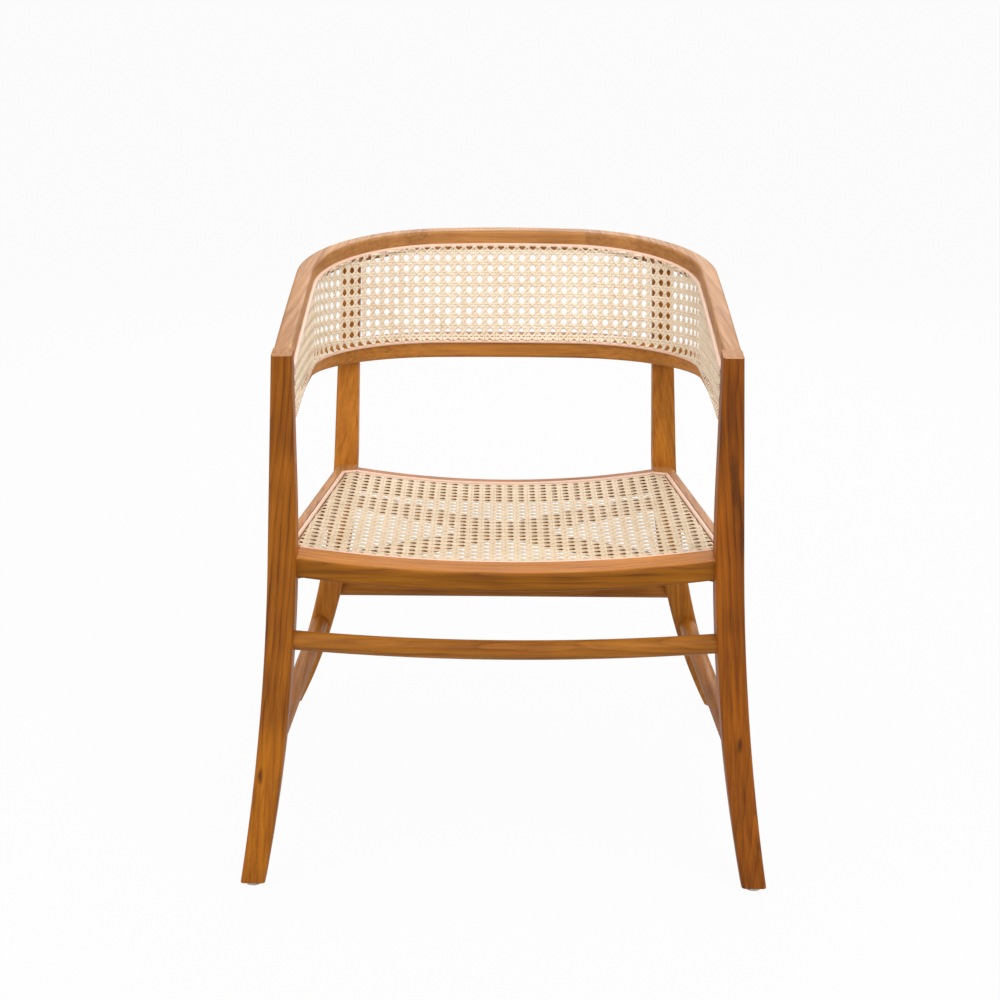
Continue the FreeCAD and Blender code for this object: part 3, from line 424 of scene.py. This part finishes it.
def grain_place(graph, along, shift):
    """Coordinates with x along the grain of a straight piece."""
    turned = graph.add("ShaderNodeMapping", {"vector_type": "POINT"}, Vector=graph.object_place())
    graph.feed(turned, "Rotation", grain_turn(along).to_euler())
    graph.feed(turned, "Location", shift)
    return turned.outputs[0]


# Light and dark wood of the grain and sheen of the surface, from piece to piece
TEAK_TONES = {
    "amber": (rgb(0.551, 0.182, 0.008), rgb(0.148, 0.037, 0.002), 0.18),
    "deep": (rgb(0.466, 0.13, 0.004), rgb(0.106, 0.025, 0.001), 0.18),
    "brown": (rgb(0.403, 0.142, 0.007), rgb(0.127, 0.036, 0.002), 0.16),
    "middle": (rgb(0.53, 0.201, 0.021), rgb(0.191, 0.057, 0.005), 0.18),
    "honey": (rgb(0.604, 0.223, 0.023), rgb(0.233, 0.074, 0.008), 0.18),
    "golden": (rgb(0.647, 0.246, 0.029), rgb(0.329, 0.106, 0.012), 0.18),
    "caramel": (rgb(0.615, 0.265, 0.053), rgb(0.318, 0.119, 0.02), 0.18),
    "sandy": (rgb(0.583, 0.265, 0.074), rgb(0.286, 0.108, 0.023), 0.3),
    "pale": (rgb(0.551, 0.26, 0.078), rgb(0.276, 0.107, 0.025), 0.3),
}
# Where a piece lies in its plank: room to shift along and across, and the pith's distance and side
PLANK_ROOM = (2, 0.02, 0.02)
PITH_AWAY = (0.05, 0.12)
PITH_ASIDE = 0.08
# Distance and strength of the bump
TEAK_BUMP = (0.0004, 0.25)
STRAW_BUMP = (0.0002, 0.3)


def teak(name, along, tone, painted_top_light_tone=None, knots=()):
    """Oiled teak for one piece: its own part of the plank, a paler top painted as light from above if asked,
    and any knots it shows.
    """
    material, graph, shader = new_material("teak_" + name)
    plank = random.Random("plank " + name)
    shift = [plank.uniform(-room, room) for room in PLANK_ROOM]
    pith = (0, plank.choice((-1, 1)) * plank.uniform(*PITH_AWAY), plank.uniform(-PITH_ASIDE, PITH_ASIDE))
    light, dark, sheen = TEAK_TONES[tone]
    place = grain_place(graph, along, shift)
    grain = use_group(graph, TEAK_GRAIN, Place=place, Pith=pith, Light=light, Dark=dark)
    colour = grain.outputs["Color"]
    # Painted top light: faces that look up take a paler tone
    if painted_top_light_tone:
        light, dark = TEAK_TONES[painted_top_light_tone][:2]
        top = use_group(graph, TEAK_GRAIN, Place=place, Pith=pith, Light=light, Dark=dark)
        colour = graph.blend(use_group(graph, PAINTED_TOP_LIGHT).outputs["Mask"], colour, top.outputs["Color"])
    for spot, reach, width, strength in knots:
        about_spot = grain_place(graph, along, -(grain_turn(along) @ Vector(spot)))
        knot = use_group(graph, KNOT, Place=about_spot, Reach=reach, Width=width)
        darkness = graph.math("MULTIPLY", knot.outputs["Mask"], strength)
        colour = graph.blend(darkness, colour, KNOT_COLOUR)
    graph.feed(shader, "Base Color", colour)
    graph.feed(shader, "Roughness", grain.outputs["Roughness"])
    graph.feed(shader, "Specular IOR Level", sheen)
    raise_surface(graph, shader, grain.outputs["Height"], *TEAK_BUMP)
    return material


def straw(name, pale, deep, fleck):
    """Dry cane or reed, between two colours, with dark flecks."""
    material, graph, shader = new_material(name)
    tone = use_group(graph, STRAW_TONE, Pale=pale, Deep=deep, Fleck=fleck)
    graph.feed(shader, "Base Color", tone.outputs["Color"])
    graph.feed(shader, "Roughness", tone.outputs["Roughness"])
    raise_surface(graph, shader, tone.outputs["Height"], *STRAW_BUMP)
    return material


def mottled(name, metallic, **looks):
    """A plain finish of two colours in patches."""
    material, graph, shader = new_material(name)
    patches = use_group(graph, MOTTLE, **looks)
    graph.feed(shader, "Base Color", patches.outputs["Color"])
    graph.feed(shader, "Roughness", patches.outputs["Roughness"])
    graph.feed(shader, "Metallic", metallic)
    return material


def screw_brass():
    light, dark = rgb(0.75, 0.55, 0.25), rgb(0.5, 0.34, 0.13)
    return mottled("screw_brass", 1, Scale=400, Detail=3, Light=light, Dark=dark, Smooth=0.25, Rough=0.45)


def glide_plastic():
    light, dark = rgb(0.78, 0.77, 0.74), rgb(0.6, 0.58, 0.55)
    return mottled("glide_plastic", 0, Scale=180, Detail=4, Light=light, Dark=dark, Smooth=0.45, Rough=0.65)


def dress(node, material):
    slots = nodes[node].data.materials
    slots.clear()
    slots.append(material)


# Panels of cane

class Panel:
    """A panel of cane: flat coordinates in, points of the mid surface, normals and edge distance out."""

    def __init__(self, surface, edge, across, along, pitch, fullness):
        self.surface = surface
        self.edge = edge
        self.across = across
        self.along = along
        self.pitch = pitch
        self.fullness = fullness

    def normal(self, flat):
        right = self.surface(flat + (SLOPE_STEP, 0)) - self.surface(flat - (SLOPE_STEP, 0))
        up = self.surface(flat + (0, SLOPE_STEP)) - self.surface(flat - (0, SLOPE_STEP))
        return unit(np.cross(right, up))


def unit(vectors):
    return vectors / np.linalg.norm(vectors, axis=1, keepdims=True)


def seat_side(y, inset):
    lean = (SEAT_FRONT_HALF - SEAT_REAR_HALF) / SEAT_DEPTH
    return SEAT_FRONT_HALF - lean * y - math.hypot(lean, 1) * inset


def on_seat(x, y, z):
    """A point of the seat's own frame in the chair's frame."""
    back = SEAT_FRONT + y * math.cos(SEAT_TILT) + z * math.sin(SEAT_TILT)
    up = SEAT_HEIGHT - y * math.sin(SEAT_TILT) + z * math.cos(SEAT_TILT)
    return np.stack(np.broadcast_arrays(x, back, up), axis=-1)


def seat_surface(flat):
    x, y = flat[:, 0], flat[:, 1]
    dish = SEAT_DISH * ((x / seat_side(y, SIDE_SHOW)) ** 2 - 1)
    return on_seat(x, y, dish - CANE_DROP)


def seat_field(inset):
    """Front, rear and side of the cane field and its corner clips, drawn in from the groove's outer wall."""
    clip_loss = inset * (2 - math.sqrt(2))
    front, rear, side = FRONT_SHOW + inset, SEAT_DEPTH - REAR_SHOW - inset, SIDE_SHOW + inset
    return front, rear, side, FRONT_CLIP - clip_loss, REAR_CLIP - clip_loss


def seat_edge(flat):
    x, y = np.abs(flat[:, 0]), flat[:, 1]
    front, rear, side, front_clip, rear_clip = seat_field(SEAT_GROOVE)
    front_corner = (seat_side(front, side) - front_clip - x + y - front) * CLIP_SLOPE
    rear_corner = (seat_side(rear, side) - rear_clip - x + rear - y) * CLIP_SLOPE
    return np.min([y - front, rear - y, seat_side(y, side) - x, front_corner, rear_corner], axis=0)


def barrel_line(rail, offset):
    """Plan of a bent rail set out by the offset, from the right front round to the left front."""
    middle_y = rail["back"] - rail["radius"]
    half = BARREL_HALF + rail["bulge"]
    corner_x = half - rail["corner"]
    rise = math.sqrt((rail["radius"] - rail["corner"]) ** 2 - corner_x**2)
    run = middle_y + rise - RAIL_FRONT
    bow = (run**2 + rail["bulge"] ** 2) / (rail["bulge"] * 2) + offset
    turn = math.atan2(rise, corner_x)
    arcs = [
        (half + offset - bow, middle_y + rise, bow, -math.asin(run / bow), 0),
        (corner_x, middle_y + rise, rail["corner"] + offset, 0, turn),
        (0, middle_y, rail["radius"] + offset, turn, math.pi / 2),
    ]
    points = []
    for x, y, radius, start, end in arcs:
        angles = np.linspace(start, end, ARC_STEPS, endpoint=False)
        points.append(np.stack([x + radius * np.cos(angles), y + radius * np.sin(angles)], axis=1))
    points.append(np.array([[0, rail["back"] + offset]]))
    right = np.concatenate(points)
    left = right[-2::-1] * (-1, 1)
    return np.concatenate([right, left])


def lengths(line):
    """Distance along a line of points, zero at its middle."""
    steps = np.linalg.norm(np.diff(line, axis=0), axis=1)
    walked = np.concatenate([[0], np.cumsum(steps)])
    return walked - walked[-1] / 2


def arm_line(y, drop):
    return ARM_HEIGHT + ARM_SLOPE * (y - ARM_FRONT) - drop


def lower_line(y, rise):
    return LOWER_HEIGHT + rise - LOWER_SLOPE * (y - ARM_FRONT)


def next_corner(start, end, from_start, from_end, side):
    """The corner at the given distances from two laid points, on one side of their line."""
    base = end - start
    span = np.linalg.norm(base)
    along = (span**2 + from_start**2 - from_end**2) / (2 * span)
    off = math.sqrt(from_start**2 - along**2)
    return start + (base * along + np.array([base[1], -base[0]]) * side * off) / span


def unrolled(low, high):
    """Both edges of a bent strip laid flat, from its middle out, with every length kept."""
    middle = len(low) // 2
    flat_low = np.zeros((len(low), 2))
    flat_high = np.zeros((len(low), 2))
    flat_low[middle] = (0, -BACK_ROW_START)
    flat_high[middle] = (0, np.linalg.norm(high[middle] - low[middle]) - BACK_ROW_START)
    for step in (1, -1):
        place = middle
        while 0 <= place + step < len(low):
            after = place + step
            reach = np.linalg.norm(low[after] - low[place])
            slant = np.linalg.norm(low[after] - high[place])
            flat_low[after] = next_corner(flat_low[place], flat_high[place], reach, slant, step)
            height = np.linalg.norm(high[after] - low[after])
            reach = np.linalg.norm(high[after] - high[place])
            flat_high[after] = next_corner(flat_low[after], flat_high[place], height, reach, step)
            place = after
    return flat_low, flat_high


def cane_edge(rail, offset, height):
    plan = barrel_line(rail, offset)
    return np.concatenate([plan, np.full((len(plan), 1), height)], axis=1)


lower_cane = cane_edge(LOWER_RAIL, LOWER_SET, lower_line(LOWER_RAIL["back"], GROOVE))
upper_cane = cane_edge(TOP_RAIL, UPPER_SET, arm_line(TOP_RAIL["back"], RAIL_SHOW + GROOVE))
cane_walk = lengths((lower_cane + upper_cane) / 2)
flat_lower, flat_upper = unrolled(lower_cane, upper_cane)


def at_walk(walk, line):
    return np.stack([np.interp(walk, cane_walk, column) for column in line.T], axis=1)


def back_place(flat):
    """Walk along the bent back and share of its height, for places of the flat sheet."""
    walk = flat[:, 0].copy()
    for tries in range(PLACE_TRIES):
        low, high = at_walk(walk, flat_lower), at_walk(walk, flat_upper)
        share = (flat[:, 1] - low[:, 1]) / (high[:, 1] - low[:, 1])
        walk += flat[:, 0] - low[:, 0] - (high[:, 0] - low[:, 0]) * share
    return walk, share


def back_surface(flat):
    walk, share = back_place(flat)
    low, high = at_walk(walk, lower_cane), at_walk(walk, upper_cane)
    return low + (high - low) * share[:, None]


def back_edge(flat):
    walk = back_place(flat)[0]
    place = back_surface(flat)
    above = place[:, 2] - lower_line(place[:, 1], GROOVE)
    below = arm_line(place[:, 1], RAIL_SHOW + GROOVE) - place[:, 2]
    front = cane_walk[-1] - np.abs(walk)
    return np.min([above, below, front], axis=0)


back_weave_across = (cane_walk[0], cane_walk[-1])
seat_panel = Panel(seat_surface, seat_edge, SEAT_WEAVE_ACROSS, SEAT_WEAVE_ALONG, SEAT_PITCH, SEAT_FULLNESS)
back_panel = Panel(back_surface, back_edge, back_weave_across, BACK_WEAVE_ALONG, BACK_PITCH, BACK_FULLNESS)


# Strands of cane

def kink(distance):
    """Rise and fall of a strand as it passes over one strand of a pair and under the other."""
    inside = np.abs(distance) < 2 * PAIR_HALF
    return np.where(inside, np.sin(math.pi * distance / (2 * PAIR_HALF)), 0)


def from_crossing(values, pitch):
    return values - np.round(values / pitch) * pitch


def paired_lines(span, pitch):
    """Places of the pairs: each strand's place and its side of the pair."""
    first, last = math.ceil(span[0] / pitch), math.floor(span[1] / pitch)
    return [(count * pitch + side * PAIR_HALF, side) for count in range(first, last + 1) for side in (-1, 1)]


def pair_steps(span, pitch):
    """Places along a strand that follow its kinks, six to a pitch."""
    first, last = math.floor(span[0] / pitch), math.ceil(span[1] / pitch)
    spots = np.array([-2, -1, 0, 1, 2]) * PAIR_HALF
    return np.concatenate(
        [np.append(count * pitch + spots, (count + 0.5) * pitch) for count in range(first, last + 1)]
    )


def lengthwise_strands(panel):
    along = pair_steps(panel.along, panel.pitch)
    for place, side in paired_lines(panel.across, panel.pitch):
        flat = np.stack([np.full_like(along, place), along], axis=1)
        yield flat, side * -0.5 * STRAND_THICK * kink(from_crossing(along, panel.pitch))


def crosswise_strands(panel):
    across = pair_steps(panel.across, panel.pitch)
    for place, side in paired_lines(panel.along, panel.pitch):
        flat = np.stack([across, np.full_like(across, place)], axis=1)
        yield flat, side * 0.5 * STRAND_THICK * kink(from_crossing(across, panel.pitch))


def slanted_strands(panel, slope):
    pitch = panel.pitch
    first, last = math.floor(panel.across[0] / pitch), math.ceil(panel.across[1] / pitch)
    steps = np.arange(first, last, 1 / SLANT_STEPS) * pitch
    starts = [along - slope * across for across in panel.across for along in panel.along]
    for count in range(math.floor(min(starts) / pitch), math.ceil(max(starts) / pitch)):
        along = (count + 0.5) * pitch + slope * steps
        kept = (along > panel.along[0]) & (along < panel.along[1])
        if kept.sum() > 1:
            flat = np.stack([steps[kept], along[kept]], axis=1)
            yield flat, slope * STRAND_THICK * np.cos(2 * math.pi * flat[:, 0] / pitch)


def clipped_runs(panel, flat, lift):
    """The stretches of a strand that lie inside the panel, each carried on to the panel's edge."""
    room = panel.edge(flat) + TUCK_UNDER
    inside = room > 0
    starts = [i for i in range(len(flat)) if inside[i] and (i == 0 or not inside[i - 1])]
    for start in starts:
        end = start
        while end + 1 < len(flat) and inside[end + 1]:
            end += 1
        places = [flat[start : end + 1]]
        lifts = [lift[start : end + 1]]
        for here, beyond, first in ((start, start - 1, True), (end, end + 1, False)):
            if 0 <= beyond < len(flat):
                share = room[here] / (room[here] - room[beyond])
                edge_place = flat[here] + (flat[beyond] - flat[here]) * share
                edge_lift = lift[here : here + 1]
                places.insert(0 if first else len(places), edge_place[None])
                lifts.insert(0 if first else len(lifts), edge_lift)
        run = np.concatenate(places)
        if len(run) > 2:
            yield run, np.concatenate(lifts)


def strand_rings(panel, flat, lift, width):
    """Rings of points along a strand that lies on the panel and dips under the reed at its ends."""
    closeness = np.clip(1 - panel.edge(flat) / TUCK_REACH, 0, 1)
    normal = panel.normal(flat)
    centre = panel.surface(flat) + normal * (lift * (1 - closeness) - TUCK * closeness**2)[:, None]
    ahead = unit(np.gradient(centre, axis=0))
    side = unit(np.cross(ahead, normal))
    top = np.cross(side, ahead)
    out = STRAND_PROFILE[:, 0] * width / 2
    rise = STRAND_PROFILE[:, 1] * STRAND_THICK
    return centre[:, None] + side[:, None] * out[None, :, None] + top[:, None] * rise[None, :, None]


def tube_faces(rings, sides, first=0, closed=False):
    """Quads round a row of rings, with a cap at each end unless the row closes on itself."""
    faces = []
    for ring in range(rings if closed else rings - 1):
        base = first + ring * sides
        above = first + (ring + 1) % rings * sides
        for corner in range(sides):
            after = (corner + 1) % sides
            faces.append((base + corner, base + after, above + after, above + corner))
    if closed:
        return faces
    faces.append(tuple(first + corner for corner in reversed(range(sides))))
    last = first + (rings - 1) * sides
    faces.append(tuple(last + corner for corner in range(sides)))
    return faces


def mesh_piece(name, points, faces, material, tones=None):
    mesh = bpy.data.meshes.new(name)
    mesh.from_pydata(points, [], faces)
    mesh.materials.append(material)
    mesh.shade_smooth()
    if tones is not None:
        layer = mesh.attributes.new("strand", "FLOAT", "POINT")
        layer.data.foreach_set("value", np.asarray(tones, np.float32))
    piece = bpy.data.objects.new(name, mesh)
    bpy.context.scene.collection.objects.link(piece)
    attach(piece, "root")
    return piece


def weave_piece(name, panel, strands, width, material):
    """All strands of one direction as one piece."""
    points = []
    faces = []
    tones = []
    pick = random.Random(name)
    sides = len(STRAND_PROFILE)
    for flat, lift in strands:
        tone = pick.random()
        own_width = width * panel.fullness * pick.uniform(*WIDTH_RANGE)
        for run, run_lift in clipped_runs(panel, flat, lift):
            rings = strand_rings(panel, run, run_lift, own_width)
            faces += tube_faces(len(rings), sides, len(points))
            points += rings.reshape(-1, 3).tolist()
            tones += [tone] * (len(rings) * sides)
    piece = mesh_piece(name, points, faces, material, tones)
    return piece


def weave(name, panel, node, material):
    """Woven cane in the place of a plain sheet."""
    groups = {
        "lengthwise": (lengthwise_strands(panel), STRAND_WIDTH),
        "crosswise": (crosswise_strands(panel), STRAND_WIDTH),
        "slant_right": (slanted_strands(panel, 1), SLANT_WIDTH),
        "slant_left": (slanted_strands(panel, -1), SLANT_WIDTH),
    }
    for direction, (strands, width) in groups.items():
        piece = weave_piece(f"{name}_{direction}", panel, strands, width, material)
        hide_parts(node)


back_cane = straw("back_cane", rgb(0.92, 0.81, 0.65), rgb(0.81, 0.64, 0.45), 0.4)
# The seat's cane is a darker copy of the back's straw: painted shade on the flat seat
seat_cane = straw("seat_cane", rgb(0.74, 0.6, 0.43), rgb(0.61, 0.45, 0.27), 0.4)
weave("seat_weave", seat_panel, "seat_cane", seat_cane)
weave("back_weave", back_panel, "back_cane", back_cane)


# Reeds that hold the cane in its grooves

def reed_piece(name, node, path, out, across, oval, closed=False):
    """An oval reed along a path at the groove's mouth, in the place of the plain spline."""
    half_out, half_across, rise = oval
    angles = np.linspace(0, 2 * math.pi, REED_SIDES, endpoint=False)
    middle = path + out * rise
    rings = middle[:, None] + out[:, None] * (half_out * np.cos(angles))[None, :, None]
    rings = rings + across[:, None] * (half_across * np.sin(angles))[None, :, None]
    faces = tube_faces(len(rings), REED_SIDES, closed=closed)
    piece = mesh_piece(name, rings.reshape(-1, 3).tolist(), faces, spline_reed)
    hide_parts(node)


def back_reed(name, node, rail, height):
    plan = barrel_line(rail, 0)
    ahead = unit(np.gradient(plan, axis=0))
    level = np.zeros(len(plan))
    inward = np.stack([-ahead[:, 1], ahead[:, 0], level], axis=1)
    upward = np.stack([level, level, level + 1], axis=1)
    path = np.stack([plan[:, 0], plan[:, 1], height(plan[:, 1])], axis=1)
    reed_piece(name, node, path, inward, upward, BACK_REED)


def seat_loop(inset):
    """Corners of the cane field, right side first."""
    front, rear, side, front_clip, rear_clip = seat_field(inset)
    right = [
        (seat_side(front, side) - front_clip, front),
        (seat_side(front + front_clip, side), front + front_clip),
        (seat_side(rear - rear_clip, side), rear - rear_clip),
        (seat_side(rear, side) - rear_clip, rear),
    ]
    return np.array(right + [(-x, y) for x, y in reversed(right)])


def seat_reed(name, node):
    corners = seat_loop(SEAT_GROOVE / 2)
    shares = np.linspace(0, 1, REED_STEPS, endpoint=False)[:, None]
    sides = zip(corners, np.roll(corners, -1, axis=0))
    flat = np.concatenate([here + (there - here) * shares for here, there in sides])
    path = seat_surface(flat) + on_seat(0, 0, CANE_DROP) - on_seat(0, 0, 0)
    ahead = unit(np.roll(path, -1, axis=0) - np.roll(path, 1, axis=0))
    upward = np.tile(on_seat(0, 0, 1) - on_seat(0, 0, 0), (len(path), 1))
    reed_piece(name, node, path, upward, unit(np.cross(ahead, upward)), SEAT_REED, closed=True)


spline_reed = straw("spline_reed", rgb(0.84, 0.58, 0.45), rgb(0.78, 0.51, 0.37), 0.1)
seat_reed("seat_reed", "seat_spline")
back_reed("back_reed_upper", "back_spline_upper", TOP_RAIL, lambda y: arm_line(y, RAIL_SHOW + GROOVE / 2))
back_reed("back_reed_lower", "back_spline_lower", LOWER_RAIL, lambda y: lower_line(y, GROOVE / 2))


# Teak pieces, each with the grain along its length

ACROSS = (1, 0, 0)
BACKWARD = (0, 1, 0)
UPRIGHT = (0, 0, 1)
FRONT_LEAN = 0.09
REAR_LEAN = 0.1
REAR_RAKE = 0.15
ARM_DRAW_IN = 0.12
ARM_RISE = 0.1
BRACE_SLANT = 1.3
TEAK_PIECES = {
    "front_leg_right": ((FRONT_LEAN, 0, -1), "deep"),
    "front_leg_left": ((-FRONT_LEAN, 0, -1), "amber"),
    "rear_leg_right": ((REAR_LEAN, REAR_RAKE, -1), "honey"),
    "rear_leg_left": ((-REAR_LEAN, REAR_RAKE, -1), "golden"),
    "crest_rail": (ACROSS, "sandy"),
    "arm_rail_right": ((-ARM_DRAW_IN, 1, ARM_RISE), "pale"),
    "arm_rail_left": ((ARM_DRAW_IN, 1, ARM_RISE), "pale"),
    "lower_back_rail": (ACROSS, "caramel"),
    "lower_side_rail_right": (BACKWARD, "caramel"),
    "lower_side_rail_left": (BACKWARD, "caramel"),
    "seat_front_rail": (ACROSS, "brown"),
    "seat_rear_rail": (ACROSS, "middle"),
    "seat_side_rail_right": (BACKWARD, "sandy"),
    "seat_side_rail_left": (BACKWARD, "sandy"),
    "seat_brace_right": ((-BRACE_SLANT, 1, 0), "sandy"),
    "seat_brace_left": ((BRACE_SLANT, 1, 0), "sandy"),
    "front_stretcher": (ACROSS, "middle"),
    "rear_stretcher": (ACROSS, "middle"),
    "side_stretcher_right": (BACKWARD, "middle"),
    "side_stretcher_left": (BACKWARD, "middle"),
    "arm_dowels": (BACKWARD, "sandy"),
    "crest_dowels": (ACROSS, "sandy"),
    "rear_leg_dowels": (UPRIGHT, "sandy"),
}
# Paler tones painted on the faces that look up, as light falling on them from above
PAINTED_TOP_LIGHT_TONES = {"front_leg_right": "pale", "front_leg_left": "pale", "seat_front_rail": "golden"}
# Knots and dark flames: place, reach along the grain, width, strength
KNOTS = {
    "front_leg_right": [
        ((0.2756, -0.2805, 0.54), 0.055, 0.007, 0.7),
        ((0.2956, -0.288, 0.2), 0.014, 0.005, 0.85),
    ],
    "front_leg_left": [((-0.3075, -0.29, 0.152), 0.014, 0.005, 0.85)],
}
for node, (along, tone) in TEAK_PIECES.items():
    dress(node, teak(node, along, tone, PAINTED_TOP_LIGHT_TONES.get(node), KNOTS.get(node, ())))
dress("brace_screws", screw_brass())
dress("foot_glides", glide_plastic())


# Floor, light and camera

def seen_straight(graph):
    """1 where the camera, a reflection or glass looks straight at the surface."""
    path = graph.add("ShaderNodeLightPath")
    seen = graph.math("MAXIMUM", path.outputs["Is Camera Ray"], path.outputs["Is Glossy Ray"])
    return graph.math("MAXIMUM", seen, path.outputs["Is Transmission Ray"])


def mix_surface(graph, output, amount, first, second):
    mixed = graph.add("ShaderNodeMixShader")
    graph.feed_all(mixed, (amount, first.outputs[0], second.outputs[0]))
    graph.feed(graph.tree.nodes[output], "Surface", mixed.outputs[0])


def floor():
    bpy.ops.mesh.primitive_plane_add(size=FLOOR_SIZE)
    plane = bpy.context.object
    plane.name = "floor"
    material, graph, shader = new_material("pale_floor")
    graph.feed(shader, "Base Color", rgb(FLOOR_GREY, FLOOR_GREY, FLOOR_GREY))
    graph.feed(shader, "Roughness", FLOOR_ROUGHNESS)
    white = graph.add("ShaderNodeEmission", Strength=1)
    white_share = graph.math("MULTIPLY", seen_straight(graph), FLOOR_WHITE)
    mix_surface(graph, "Material Output", white_share, shader, white)
    plane.data.materials.append(material)


def sky():
    world = bpy.data.worlds.new("studio")
    bpy.context.scene.world = world
    world.use_nodes = True
    graph = Graph(world.node_tree)
    soft = world.node_tree.nodes["Background"]
    graph.feed(soft, "Color", rgb(1, 0.98, 0.96))
    graph.feed(soft, "Strength", SKY_STRENGTH)
    white = graph.add("ShaderNodeBackground", Color=rgb(1, 1, 1), Strength=1)
    mix_surface(graph, "World Output", seen_straight(graph), soft, white)


def lamp(name, place, power):
    data = bpy.data.lights.new(name, "AREA")
    data.shape = "SQUARE"
    data.size = LAMP_SIZE
    data.energy = power
    item = bpy.data.objects.new(name, data)
    item.location = place
    item.rotation_euler = (Vector(SEAT_MIDDLE) - Vector(place)).to_track_quat("-Z", "Y").to_euler()
    bpy.context.scene.collection.objects.link(item)


def camera():
    data = bpy.data.cameras.new("photo_camera")
    data.sensor_width = SENSOR
    data.lens = SENSOR * FOCAL_PIXELS / FRAME_PIXELS
    data.shift_x = CAMERA_SHIFT
    item = bpy.data.objects.new("photo_camera", data)
    item.location = (CAMERA_SIDE, -CAMERA_BACK, CAMERA_HEIGHT)
    item.rotation_euler = Euler((math.pi / 2 - CAMERA_PITCH, 0, CAMERA_YAW))
    bpy.context.scene.collection.objects.link(item)
    bpy.context.scene.camera = item


floor()
sky()
for name, (place, power) in LAMPS.items():
    lamp(name, place, power)
camera()
bpy.context.scene.view_settings.view_transform = "Standard"
